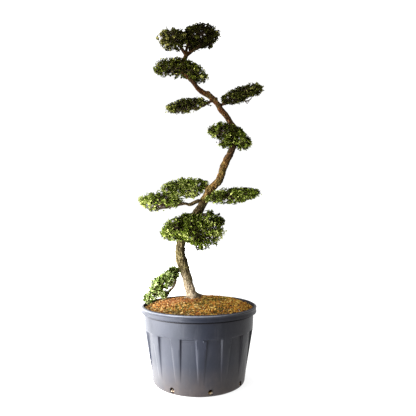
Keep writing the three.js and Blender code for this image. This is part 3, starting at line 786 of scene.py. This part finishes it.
def pot_rings():
    """Height, radius of the panels and radius of the ribs, from the base up and down again inside."""
    rings = []
    for step in range(7):
        turn = math.pi / 2 * step / 6
        radius = lerp(BASE_FLAT_RADIUS, FOOT_RADIUS, math.sin(turn))
        rings.append((FOOT_HEIGHT * (1 - math.cos(turn)), radius, radius))
    for z in np.linspace(0.034, RIB_FOOT_HEIGHT, 5):
        rings.append((z, panel_radius(z), panel_radius(z)))
    for z in np.linspace(0.09, LEDGE_START, 24):
        rings.append((z, panel_radius(z), rib_radius(z)))
    for step in range(1, 7):
        share = step / 6
        panel = lerp(panel_radius(LEDGE_START), BAND_RADIUS, smooth(share))
        rings.append((LEDGE_START + 0.011 * share, panel, lerp(rib_radius(LEDGE_START), BAND_RADIUS, share)))
    rings += [(z, radius, radius) for z, radius in plain_rings()]
    return [wall_ring(*ring) for ring in rings]


def drain_cutter():
    """The drain holes as one set of tongue-shaped prisms through the foot of the wall."""
    half = DRAIN_WIDTH / 2
    outline = [(-0.78 * half, 0.0), (0.78 * half, 0.0)]
    for step in range(13):
        turn = math.pi * step / 12
        outline.append((half * math.cos(turn), DRAIN_HEIGHT * (0.45 + 0.55 * math.sin(turn) ** 0.8)))
    points = []
    faces = []
    for index in range(DRAIN_COUNT):
        angle = DRAIN_FIRST_ANGLE + index * 2 * math.pi / DRAIN_COUNT
        first = len(points)
        for radius in (FOOT_RADIUS - 0.03, FOOT_RADIUS + 0.03):
            points += [turned(radius, side, DRAIN_SILL + rise, angle) for side, rise in outline]
        faces += [[first + corner for corner in face] for face in closed_faces(2, len(outline))]
    return new_mesh("drain_cutter", points, faces)


def apply_modifiers(piece):
    bpy.context.view_layer.update()
    graph = bpy.context.evaluated_depsgraph_get()
    mesh = bpy.data.meshes.new_from_object(piece.evaluated_get(graph))
    piece.modifiers.clear()
    old = piece.data
    piece.data = mesh
    bpy.data.meshes.remove(old)


def make_pot():
    rings = pot_rings()
    count = len(rings[0])
    faces = closed_faces(len(rings), count)
    material = pot_material()
    pot = new_piece("container", sum(rings, []), faces, "pot_plastic", material, "pot")
    cutter = drain_cutter()
    cut = pot.modifiers.new("drain", "BOOLEAN")
    cut.operation = "DIFFERENCE"
    cut.solver = "EXACT"
    cut.object = cutter
    apply_modifiers(pot)
    bpy.data.objects.remove(cutter)
    pot.data.shade_smooth()
    pot.data.set_sharp_from_angle(angle=math.radians(38))
    make_mark(material)


def make_mark(material):
    """The small moulding mark near the top of the front rib, a little right of its middle."""
    ball = bmesh.new()
    bmesh.ops.create_uvsphere(ball, u_segments=16, v_segments=8, radius=MARK_RADIUS)
    for vertex in ball.verts:
        out, side, up = vertex.co
        vertex.co = turned(rib_radius(LEDGE_START) + 0.7 * out, side, LEDGE_START + up, MARK_ANGLE)
    mark = new_piece("moulding_mark", [], [], "pot_plastic", material)
    ball.to_mesh(mark.data)
    ball.free()
    mark.data.shade_smooth()


# Growing mix

def soil_height(x, y):
    share = min(math.hypot(x, y) / SOIL_RADIUS, 1)
    bumps = noise.fractal(Vector((x * 9, y * 9, 0.3)), 1.0, 2.0, 3) * 0.006
    hollow_x, hollow_y, radius, depth = HOLLOW
    hollow = depth * math.exp(-((x - hollow_x) ** 2 + (y - hollow_y) ** 2) / radius ** 2)
    mound = SOIL_EDGE_HEIGHT + SOIL_RISE * (1 - share ** 4)
    return mound + bumps * (1 - share ** 6) - hollow * (1 - share ** 12)


def soil_top(x, y):
    crumb = noise.noise(Vector((x * 110, y * 110, 0))) * 0.0035
    return soil_height(x, y) + crumb - 0.003


def make_soil():
    foot = panel_radius(FOOT_HEIGHT) - SOIL_FOOT_GAP
    sides = [  # radius, height
        (BASE_RADIUS - SOIL_FOOT_GAP, WALL + 0.0005), (foot, FOOT_HEIGHT), (foot, DRAIN_SILL + DRAIN_HEIGHT),
        (panel_radius(RIB_FOOT_HEIGHT) - WALL - SOIL_GAP, RIB_FOOT_HEIGHT),
        (panel_radius(LEDGE_HEIGHT - 0.02) - WALL - SOIL_GAP, LEDGE_HEIGHT - 0.02),
        (BAND_RADIUS - WALL - 0.001, LEDGE_HEIGHT + 0.03),
        (BAND_TOP_RADIUS - WALL - 0.0005, SOIL_EDGE_HEIGHT - 0.012),
        (SOIL_RADIUS - 0.001, SOIL_EDGE_HEIGHT - 0.001),
    ]
    rings = [circle(radius, z, SOIL_SIDES) for radius, z in sides]
    for share in np.linspace(0.985, 0.02, 56):
        rings.append([(x, y, soil_top(x, y)) for x, y, _ in circle(SOIL_RADIUS * share, 0, SOIL_SIDES)])
    faces = closed_faces(len(rings), SOIL_SIDES)
    soil = new_piece("growing_mix", sum(rings, []), faces, "growing_mix", soil_material(), "soil")
    soil.data.shade_smooth()


def chip_shape():
    """A flat, five-sided flake, its faces and its map."""
    points = np.array([
        (-0.50, -0.30, -0.5), (0.10, -0.50, -0.5), (0.52, -0.10, -0.5), (0.34, 0.42, -0.5),
        (-0.40, 0.36, -0.5), (-0.42, -0.24, 0.5), (0.12, -0.40, 0.4), (0.44, -0.06, 0.5),
        (0.26, 0.34, 0.4), (-0.34, 0.28, 0.5),
    ])
    faces = [(4, 3, 2), (4, 2, 1), (4, 1, 0), (5, 6, 7), (5, 7, 8), (5, 8, 9)]
    for step in range(5):
        after = (step + 1) % 5
        faces += [(step, after, 5 + after), (step, 5 + after, 5 + step)]
    return points, faces, points[:, :2] + 0.5


def moss_shape():
    points = np.array([(-0.5, 0, 0), (0.5, 0, 0), (0.35, 0.12, 0.55), (-0.35, 0.12, 0.55), (0.0, 0.5, 1.0)])
    return points, [(0, 1, 2), (0, 2, 3), (3, 2, 4)], points[:, [0, 2]] * (0.9, 0.9) + (0.5, 0.05)


def random_axes(random, count, tilt):
    """Axes turned at random about Z and tipped by up to about `tilt` radians."""
    turn = random.uniform(0, 2 * math.pi, count)
    tips = [random.normal(0, tilt, count), random.normal(0, tilt, count), np.ones(count)]
    up = unit(np.stack(tips, axis=1))
    along = np.stack([np.cos(turn), np.sin(turn), np.zeros(count)], axis=1)
    along = unit(along - up * np.sum(along * up, axis=1, keepdims=True))
    return np.stack([along, np.cross(up, along), up], axis=1)


def on_soil(random, count, reach):
    radius = SOIL_RADIUS * reach * np.sqrt(random.uniform(0, 1, count))
    turn = random.uniform(0, 2 * math.pi, count)
    x = radius * np.cos(turn)
    y = radius * np.sin(turn)
    z = np.array([soil_height(a, b) for a, b in zip(x, y)])
    return np.stack([x, y, z], axis=1)


def mossy(places):
    """How mossy the ground is at each place, from about 0 to about 1."""
    amount = np.array([noise.noise(Vector((x * 6 + 3.1, y * 6, 1.7))) for x, y, _ in places]) * 0.9 + 0.36
    for x, y, radius, gain in MOSS_PATCHES:
        off = np.hypot(places[:, 0] - x, places[:, 1] - y) / radius
        amount += gain * np.exp(-off ** 2)
    return amount


def in_drains(random):
    """Places for loose chips that lie in the bottom of each drain hole."""
    index = np.repeat(np.arange(DRAIN_COUNT), DRAIN_CHIPS)
    turn = DRAIN_FIRST_ANGLE + index * 2 * math.pi / DRAIN_COUNT
    turn += random.uniform(-0.36, 0.36, len(index)) * DRAIN_WIDTH / FOOT_RADIUS
    radius = FOOT_RADIUS - random.uniform(0.006, 0.026, len(index))
    z = DRAIN_SILL + random.uniform(0.001, 0.4, len(index)) * DRAIN_HEIGHT
    return np.stack([radius * np.cos(turn), radius * np.sin(turn), z], axis=1)


def make_mulch():
    random = np.random.default_rng(5)
    material = chip_material()
    in_drain = DRAIN_COUNT * DRAIN_CHIPS

    places = on_soil(random, CHIP_COUNT, 0.985)
    places = places[mossy(places) < random.uniform(0.1, 1.15, len(places))]
    count = len(places)
    places[:, 2] += random.uniform(-0.003, 0.006, count)
    places[:in_drain] = in_drains(random)
    length = random.uniform(0.007, 0.022, count)
    width = length * random.uniform(0.4, 0.8, count)
    sizes = np.stack([length, width, random.uniform(0.002, 0.006, count)], axis=1)
    chip = chip_shape()
    axes = random_axes(random, count, 0.42)
    chips = scatter("bark_chips", chip, places, axes, sizes, "growing_mix", material)
    cells = random.integers(0, 5 * ATLAS, count)
    grit = random.uniform(0, 1, count) < np.where(np.arange(count) < in_drain, 0.75, 0.006)
    cells[grit] = random.integers(7 * ATLAS, 8 * ATLAS, grit.sum())
    atlas_map(chips, chip, cells)

    places = on_soil(random, MOSS_COUNT, 0.97)
    places = places[mossy(places) > random.uniform(0.12, 1.1, len(places))]
    count = len(places)
    places[:, 2] -= 0.001
    axes = random_axes(random, count, 0.5)
    height = random.uniform(0.006, 0.012, count)
    sizes = np.stack([random.uniform(0.002, 0.0036, count), height, height], axis=1)
    blade = moss_shape()
    moss = scatter("moss", blade, places, axes, sizes, "growing_mix", material)
    atlas_map(moss, blade, random.integers(5 * ATLAS, 7 * ATLAS, count))


# Wood

def smooth_path(guide, step):
    """Points about `step` apart along a curve through the guide points, as x, y, z, radius in metres."""
    guide = np.array(guide, float) / 1000
    padded = np.vstack([2 * guide[0] - guide[1], guide, 2 * guide[-1] - guide[-2]])
    path = []
    for a, b, c, d in zip(padded, padded[1:], padded[2:], padded[3:]):
        count = max(2, int(np.linalg.norm((c - b)[:3]) / step))
        for t in np.arange(count) / count:
            path.append(0.5 * (2 * b + (c - a) * t + (2 * a - 5 * b + 4 * c - d) * t ** 2
                               + (3 * b - a - 3 * c + d) * t ** 3))
    path.append(guide[-1])
    return np.array(path)


def path_frames(path):
    """A direction along the path at each point and two across it that turn as little as they can."""
    along = unit(np.gradient(path[:, :3], axis=0))
    side = np.array([0.0, 1.0, 0.0])
    sides = []
    for direction in along:
        side = unit(side - direction * np.dot(side, direction))
        sides.append(side)
    sides = np.array(sides)
    return along, sides, np.cross(along, sides)


def tube(path, count):
    _, side, across = path_frames(path)
    turn = np.arange(count) / count * 2 * math.pi
    ring = side[:, None, :] * np.cos(turn)[None, :, None] + across[:, None, :] * np.sin(turn)[None, :, None]
    points = (path[:, None, :3] + ring * path[:, None, 3:]).reshape(-1, 3)
    return points.tolist(), closed_faces(len(path), count)


def add_knots(mesh):
    work = bmesh.new()
    work.from_mesh(mesh)
    for x, y, z, radius in KNOTS:
        made = bmesh.ops.create_icosphere(work, subdivisions=3, radius=radius / 1000)
        bmesh.ops.translate(work, vec=Vector((x, y, z)) / 1000, verts=made["verts"])
    work.to_mesh(mesh)
    work.free()


def make_trunk():
    paths = [smooth_path(guide, WOOD_STEP) for guide in (TRUNK, *BRANCHES.values(), *ROOTS)]
    points = []
    faces = []
    for path in paths:
        tube_points, tube_faces = tube(path, WOOD_SIDES)
        first = len(points)
        points += tube_points
        faces += [[first + corner for corner in face] for face in tube_faces]
    material = bark_material()
    trunk = new_piece("bark", points, faces, "bark", material, "trunk")
    add_knots(trunk.data)
    remesh = trunk.modifiers.new("fuse", "REMESH")
    remesh.mode = "VOXEL"
    remesh.voxel_size = WOOD_VOXEL
    soften = trunk.modifiers.new("soften", "SMOOTH")
    soften.factor = 0.5
    soften.iterations = 6
    apply_modifiers(trunk)
    trunk.data.materials.clear()
    trunk.data.materials.append(material)
    add_bark(trunk.data, paths)
    trunk.data.shade_smooth()


def read_vectors(data, key):
    values = np.empty(len(data) * 3, np.float64)
    data.foreach_get(key, values)
    return values.reshape(-1, 3)


def unroll(points, paths):
    """Where each point lies on the nearest limb, across and along it, and that limb's radius there."""
    count = len(points)
    best = np.full(count, np.inf)
    flow = np.zeros((count, 3))
    girth = np.zeros(count)
    for index, path in enumerate(paths):
        along, side, across = path_frames(path)
        travelled = np.concatenate([[0], np.cumsum(np.linalg.norm(np.diff(path[:, :3], axis=0), axis=1))])
        for start in range(0, count, POINT_BLOCK):
            block = points[start:start + POINT_BLOCK]
            distance = np.linalg.norm(block[:, None, :] - path[None, :, :3], axis=2) - path[None, :, 3]
            nearest = np.argmin(distance, axis=1)
            distance = distance[np.arange(len(block)), nearest]
            closer = distance < best[start:start + POINT_BLOCK]
            chosen = nearest[closer]
            offset = block[closer] - path[chosen, :3]
            rows = start + np.nonzero(closer)[0]
            best[rows] = distance[closer]
            flow[rows, 0] = np.sum(offset * side[chosen], axis=1) + LIMB_SHIFT * index
            flow[rows, 1] = np.sum(offset * across[chosen], axis=1)
            flow[rows, 2] = travelled[chosen] + np.sum(offset * along[chosen], axis=1)
            girth[rows] = path[chosen, 3]
    return flow, girth


def bark_height(x, y, s):
    """The bark's ridges, lumps and fissures at a place on the unrolled limb."""
    ridge = noise.noise(Vector((x * 75, y * 75, s * 44)))
    lump = noise.noise(Vector((x * 26, y * 26, s * 20 + 5)))
    near = noise.voronoi(Vector((x * 62, y * 62, s * 38)))[0]
    fissure = min((near[1] - near[0]) * 3, 1) - 1
    return 0.45 * ridge + 1.2 * lump + 0.5 * fissure


def add_bark(mesh, paths):
    """Raises the bark and stores, for the material, where each point lies on its unrolled limb."""
    points = read_vectors(mesh.vertices, "co")
    normals = read_vectors(mesh.vertices, "normal")
    flow, girth = unroll(points, paths)
    raised = np.array([bark_height(x, y, s) for x, y, s in flow])
    points += normals * (raised * np.clip(girth / RELIEF_GIRTH, 0.25, 1.1) * BARK_RELIEF)[:, None]
    mesh.vertices.foreach_set("co", points.ravel())
    attribute = mesh.attributes.new("flow", "FLOAT_VECTOR", "POINT")
    attribute.data.foreach_set("vector", flow.astype(np.float32).ravel())
    attribute = mesh.attributes.new("girth", "FLOAT", "POINT")
    attribute.data.foreach_set("value", girth.astype(np.float32))
    mesh.update()


# Foliage

def leaf_shape():
    """A leaf folded along its midrib and bent down at the tip, its faces and its map."""
    rows = [(0.3, 0.92), (0.7, 0.86)]  # places along the leaf and the share of its width there
    outline = [(0.0, 0.0)]
    for place, width in rows:
        outline += [(place, -width / 2), (place + 0.04, 0.0), (place, width / 2)]
    outline += [(1.0, 0.0)]
    points = np.array([(along, across, 0.42 * abs(across) - 0.20 * along ** 2) for along, across in outline])
    faces = [
        (0, 1, 2), (0, 2, 3), (1, 4, 5), (1, 5, 2), (2, 5, 6), (2, 6, 3), (4, 7, 5), (5, 7, 6),
    ]
    return points, faces, np.array(outline) + (0, 0.5)


def lobe_axes(tilt):
    turn = math.radians(tilt)
    return np.array([(math.cos(turn), 0, math.sin(turn)), (0, 1, 0), (-math.sin(turn), 0, math.cos(turn))])


def lobe_share(lobe, points):
    """How far points lie from a lobe's middle, as a share of the lobe's size."""
    middle, half, tilt = lobe
    local = (points - np.array(middle) / 1000) @ lobe_axes(tilt).T
    return np.linalg.norm(local / (np.array(half) / 1000), axis=-1)


def pad_share(lobes, points):
    return np.min([lobe_share(lobe, points) for lobe in lobes], axis=0)


def lobe_area(half):
    a, b, c = (size / 1000 for size in half)
    return 4 * math.pi * (((a * b) ** 1.6 + (a * c) ** 1.6 + (b * c) ** 1.6) / 3) ** (1 / 1.6)


def all_lobes(pad):
    """The pad's lobes and, as small ones, its tufts."""
    tufts = [((x, y, z), (radius, 1.3 * radius, radius), 0) for x, y, z, radius in pad["tufts"]]
    return pad["lobes"] + tufts


def seen_off(points, x, z):
    """How far points seem to lie from x, z in millimetres, seen from the front on the middle plane."""
    eye_x, eye_y, eye_z = CAMERA_PLACE
    share = eye_y / (eye_y - points[:, 1])
    seen_x = eye_x + (points[:, 0] - eye_x) * share
    seen_z = eye_z + (points[:, 2] - eye_z) * share
    return np.hypot(seen_x - x / 1000, seen_z - z / 1000)


def spray_places(random, pad):
    """Tips of the sprays, most of them near the pad's outline, with the outward direction at each."""
    tips = []
    normals = []
    for lobe in all_lobes(pad):
        middle, half, tilt = lobe
        count = int(lobe_area(half) / SPRAY_ROOM * pad["density"])
        balls = unit(random.normal(size=(count * 6, 3)))
        stretch = np.linalg.norm(balls / (np.array(half) / max(half)), axis=1)
        balls = balls[random.uniform(0, stretch.max(), len(balls)) < stretch][:count]
        inner = random.uniform(0, 1, len(balls)) < INNER_SPRAYS
        deep = random.uniform(0.5, 0.85, len(balls))
        depth = np.where(inner, deep, random.uniform(0.86, 1.03, len(balls)))
        local = balls * depth[:, None] * np.array(half) / 1000
        points = local @ lobe_axes(tilt) + np.array(middle) / 1000
        outward = unit(balls / np.array(half)) @ lobe_axes(tilt)
        keep = (outward[:, 2] > -0.5) | (random.uniform(0, 1, len(points)) < 0.7)
        for other in pad["lobes"]:
            if other != lobe:
                keep &= lobe_share(other, points) > BURIED
        tips.append(points[keep])
        normals.append(outward[keep])
    return np.concatenate(tips), np.concatenate(normals)


def spray_axes(random, normals):
    """Each spray's direction, its side and its face: it grows outwards and up and faces outwards."""
    count = len(normals)
    loose = random.normal(0, 0.55, (count, 3))
    along = unit(normals * random.uniform(0.25, 1.0, count)[:, None] + loose + np.array([0, 0, 0.3]))
    face = normals + random.normal(0, 0.35, (count, 3)) + np.array([0, 0, 0.45])
    face = unit(face - along * np.sum(face * along, axis=1, keepdims=True))
    return along, np.cross(face, along), face


def spray_leaves(random, roots, along, side, face, length):
    """Where the leaves of each spray stand, their directions, faces and lengths, spray after spray."""
    count = len(roots)
    steps = (np.arange(LEAVES_ON_SPRAY) + 1) / LEAVES_ON_SPRAY
    sign = np.where(np.arange(LEAVES_ON_SPRAY) % 2, 1.0, -1.0)
    sign[-1] = 0.0
    bend = -0.16 * steps ** 2
    stems = roots[:, None, :] + length[:, None, None] * (
        along[:, None, :] * steps[None, :, None] + face[:, None, :] * bend[None, :, None]
    )
    opening = np.radians(random.uniform(38, 68, (count, LEAVES_ON_SPRAY)))
    leaf_along = (
        along[:, None, :] * np.cos(opening)[:, :, None]
        + side[:, None, :] * (np.sin(opening) * sign[None, :])[:, :, None]
        + random.normal(0, 0.22, (count, LEAVES_ON_SPRAY, 3))
    )
    leaf_along = unit(leaf_along).reshape(-1, 3)
    leaves = count * LEAVES_ON_SPRAY
    leaf_face = np.repeat(face, LEAVES_ON_SPRAY, axis=0) + random.normal(0, 0.42, (leaves, 3))
    leaf_face = unit(leaf_face - leaf_along * np.sum(leaf_face * leaf_along, axis=1, keepdims=True))
    size = LEAF_LENGTH * random.uniform(0.75, 1.2, leaves) * np.tile(1 - 0.22 * steps, count)
    return stems.reshape(-1, 3), leaf_along, leaf_face, size


def kept_leaves(random, pad, places, tips, outside):
    """Which leaves stay: those near enough to the pad and off its gaps, on sprays that keep a few."""
    bare = np.zeros(len(places), bool)
    for x, z, radius in pad["gaps"]:
        off = seen_off((places + tips) / 2, x, z)
        bare |= off < radius / 1000 * random.uniform(0.75, 1.25, len(off)) + 0.2 * LEAF_LENGTH
    loose = 0.9 * noise_at(tips, CLUMPS) + random.normal(0, 0.35, len(places)).clip(-0.8, 1.2)
    keep = (outside < LEAF_REACH + pad["stray"] * loose) & ~bare
    leafy = keep.reshape(-1, LEAVES_ON_SPRAY).sum(axis=1) >= FEWEST_LEAVES
    return keep & np.repeat(leafy, LEAVES_ON_SPRAY), leafy


def leaf_rows(random, name, pad, places, outside):
    """The row of the map for each leaf: high ones are paler."""
    box_low, box_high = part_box(name)
    leftness = 1 - (places[:, 0] - box_low.x) / (box_high.x - box_low.x)
    light = pad["tone"] + 1.2 * (outside - 0.88) + 0.06 * (leftness - 0.5) + 0.4 * noise_at(places, PATCHES)
    light += random.normal(0, 0.19, len(places))
    for x, z, radius, gain in pad["lit"]:
        off = seen_off(places, x, z) / (radius / 1000)
        light += gain * np.exp(-off ** 2)
    return np.clip((light * ATLAS).astype(int), 0, ATLAS - 1)


def make_pad(name, pad, material, seed, skeleton):
    """The leaves of one pad, and the paths of the fine twigs that carry them."""
    random = np.random.default_rng(seed)
    lobes = all_lobes(pad)
    tips, normals = spray_places(random, pad)
    along, side, face = spray_axes(random, normals)
    length = SPRAY_LENGTH * random.uniform(0.7, 1.2, len(tips))
    roots = tips - along * length[:, None]
    inside = pad_share(lobes, roots) < SPRAY_START
    sprays = [part[inside] for part in (roots, along, side, face, length)]

    places, leaf_along, leaf_face, size = spray_leaves(random, *sprays)
    leaf_tips = places + leaf_along * size[:, None]
    outside = pad_share(lobes, leaf_tips)
    keep, leafy = kept_leaves(random, pad, places, leaf_tips, outside)
    places, leaf_along, leaf_face, size, outside = (
        part[keep] for part in (places, leaf_along, leaf_face, size, outside)
    )
    axes = np.stack([leaf_along, np.cross(leaf_face, leaf_along), leaf_face], axis=1)
    width = size * LEAF_WIDTH * random.uniform(0.8, 1.15, len(places))
    leaf = leaf_shape()
    sizes = np.stack([size, width, size], axis=1)
    leaves = scatter(name + "_leaves", leaf, places, axes, sizes, pad["slot"], material, name)
    leaves.data.shade_smooth()
    rows = leaf_rows(random, name, pad, places, outside)
    atlas_map(leaves, leaf, rows * ATLAS + random.integers(0, ATLAS, len(places)))

    twigs = []
    for root, direction, _, lift, reach in zip(*(part[leafy] for part in sprays)):
        start = skeleton[np.argmin(np.linalg.norm(skeleton - root, axis=1))]
        twigs.append([start, root, root + direction * reach * 0.85 - lift * 0.11 * reach])
    return twigs


def pad_skeleton(pad, wood):
    """Points of the limbs inside a pad, with an added limb along each lobe."""
    points = [wood[pad_share(pad["lobes"], wood) < 1.0]]
    limbs = []
    sag = np.array([(0, 0, 0), (0, 0, -0.004), (0, 0, 0.003), (0, 0, 0)])
    for middle, half, tilt in pad["lobes"]:
        centre = np.array(middle) / 1000 - [0, 0, 0.12 * half[2] / 1000]
        reach = lobe_axes(tilt)[0] * half[0] / 1000
        depth = np.array([0, half[1] / 1000, 0])
        anchor = wood[np.argmin(np.linalg.norm(wood - centre, axis=1))]
        for end in (centre + 0.6 * reach, centre - 0.6 * reach, centre + 0.5 * depth, centre - 0.5 * depth):
            limbs.append(np.linspace(anchor, end, 4) + sag)
            points.append(np.linspace(anchor, end, 16))
    return np.concatenate(points), limbs


def thin_tubes(paths, radii, count):
    """Many slender tubes with the same number of points, as one set of points and faces."""
    paths = np.array(paths)
    along = unit(np.gradient(paths, axis=1))
    side = unit(np.cross(along, np.array([0.31, 0.87, 0.38])))
    across = np.cross(along, side)
    turn = np.arange(count) / count * 2 * math.pi
    ring = (
        side[:, :, None, :] * np.cos(turn)[None, None, :, None]
        + across[:, :, None, :] * np.sin(turn)[None, None, :, None]
    )
    points = paths[:, :, None, :] + ring * np.array(radii)[None, :, None, None]
    faces = repeated_faces(ring_faces(len(radii), count), len(paths), len(radii) * count)
    return points.reshape(-1, 3).tolist(), faces


def make_foliage():
    materials = {slot: leaf_material(slot, stops) for slot, stops in LEAF_COLOURS.items()}
    wood = np.concatenate([smooth_path(guide, 0.01)[:, :3] for guide in (TRUNK, *BRANCHES.values())])
    twigs = []
    limbs = []
    for index, (name, pad) in enumerate(PADS.items()):
        skeleton, pad_limbs = pad_skeleton(pad, wood)
        limbs += pad_limbs
        twigs += make_pad(name, pad, materials[pad["slot"]], 40 + index, skeleton)
    limbs += [np.array(twig) / 1000 for twig in BARE_TWIGS]
    material = twig_material()
    new_piece("twigs", *thin_tubes(twigs, (0.0019, 0.0013, 0.0006), 3), "bark", material)
    limb_tubes = thin_tubes(limbs, (0.0065, 0.0052, 0.0038, 0.0018), 7)
    new_piece("limbs", *limb_tubes, "bark", material).data.shade_smooth()


# Surroundings

def add_area_light(name, place, target, size, power):
    light = bpy.data.lights.new(name, "AREA")
    light.shape = "RECTANGLE"
    light.size, light.size_y = size
    light.energy = power
    lamp = new_object(name, light)
    lamp.location = place
    lamp.rotation_euler = (Vector(target) - Vector(place)).to_track_quat("-Z", "Y").to_euler()


def make_world():
    """A studio that is white behind the object, brightest on the left, and dim on the right and in front."""
    world = bpy.data.worlds.new("studio")
    bpy.context.scene.world = world
    world.use_nodes = True
    sky = Graph(world.node_tree)
    x, y, z = sky.parts(sky.add("Generated", "TexCoord"))
    backdrop = sky.fade(y, 0.58, 0.74, 0.95) * sky.fade(x, 0.68, 0.52)
    low_wall = sky.fade(x, -0.40, -0.62, 7.0) * sky.fade(z, 0.5, 0.15)
    rear_left = sky.fade(x, -0.15, -0.5, 3.2) * sky.fade(y, -0.1, 0.4)
    overhead = sky.fade(z, 0.35, 0.95, 1.7) + sky.fade(x, -0.42, -0.8, 2.2)
    strength = backdrop + 0.10 + overhead + low_wall + rear_left
    strength = sky.math("MAXIMUM", strength, sky.add("Is Camera Ray", "LightPath"))
    background = world.node_tree.nodes["Background"].inputs
    background["Color"].default_value = (1, 1, 1, 1)
    sky.put(background["Strength"], strength)


def make_surroundings():
    floor = new_mesh("floor", [(-40, -40, 0), (40, -40, 0), (40, 40, 0), (-40, 40, 0)], [(0, 1, 2, 3)])
    floor.data.materials.append(floor_material())

    make_world()
    add_area_light("key", (-2.8, -2.2, 3.2), (0, 0, 1.2), (1.5, 1.5), 20)
    add_area_light("low_panel", (-1.45, -0.7, 0.36), (0, 0.1, 0.3), (2.4, 0.66), 84)

    lens = bpy.data.cameras.new("camera")
    lens.sensor_fit = "HORIZONTAL"
    lens.sensor_width = 36
    lens.lens = CAMERA_LENS
    lens.clip_end = 200
    camera = new_object("camera", lens)
    camera.location = CAMERA_PLACE
    camera.rotation_euler = (math.pi / 2 + CAMERA_PITCH, 0, 0)
    bpy.context.scene.camera = camera


bpy.context.scene.view_settings.view_transform = "Standard"
make_surroundings()
make_pot()
make_soil()
make_mulch()
make_trunk()
make_foliage()
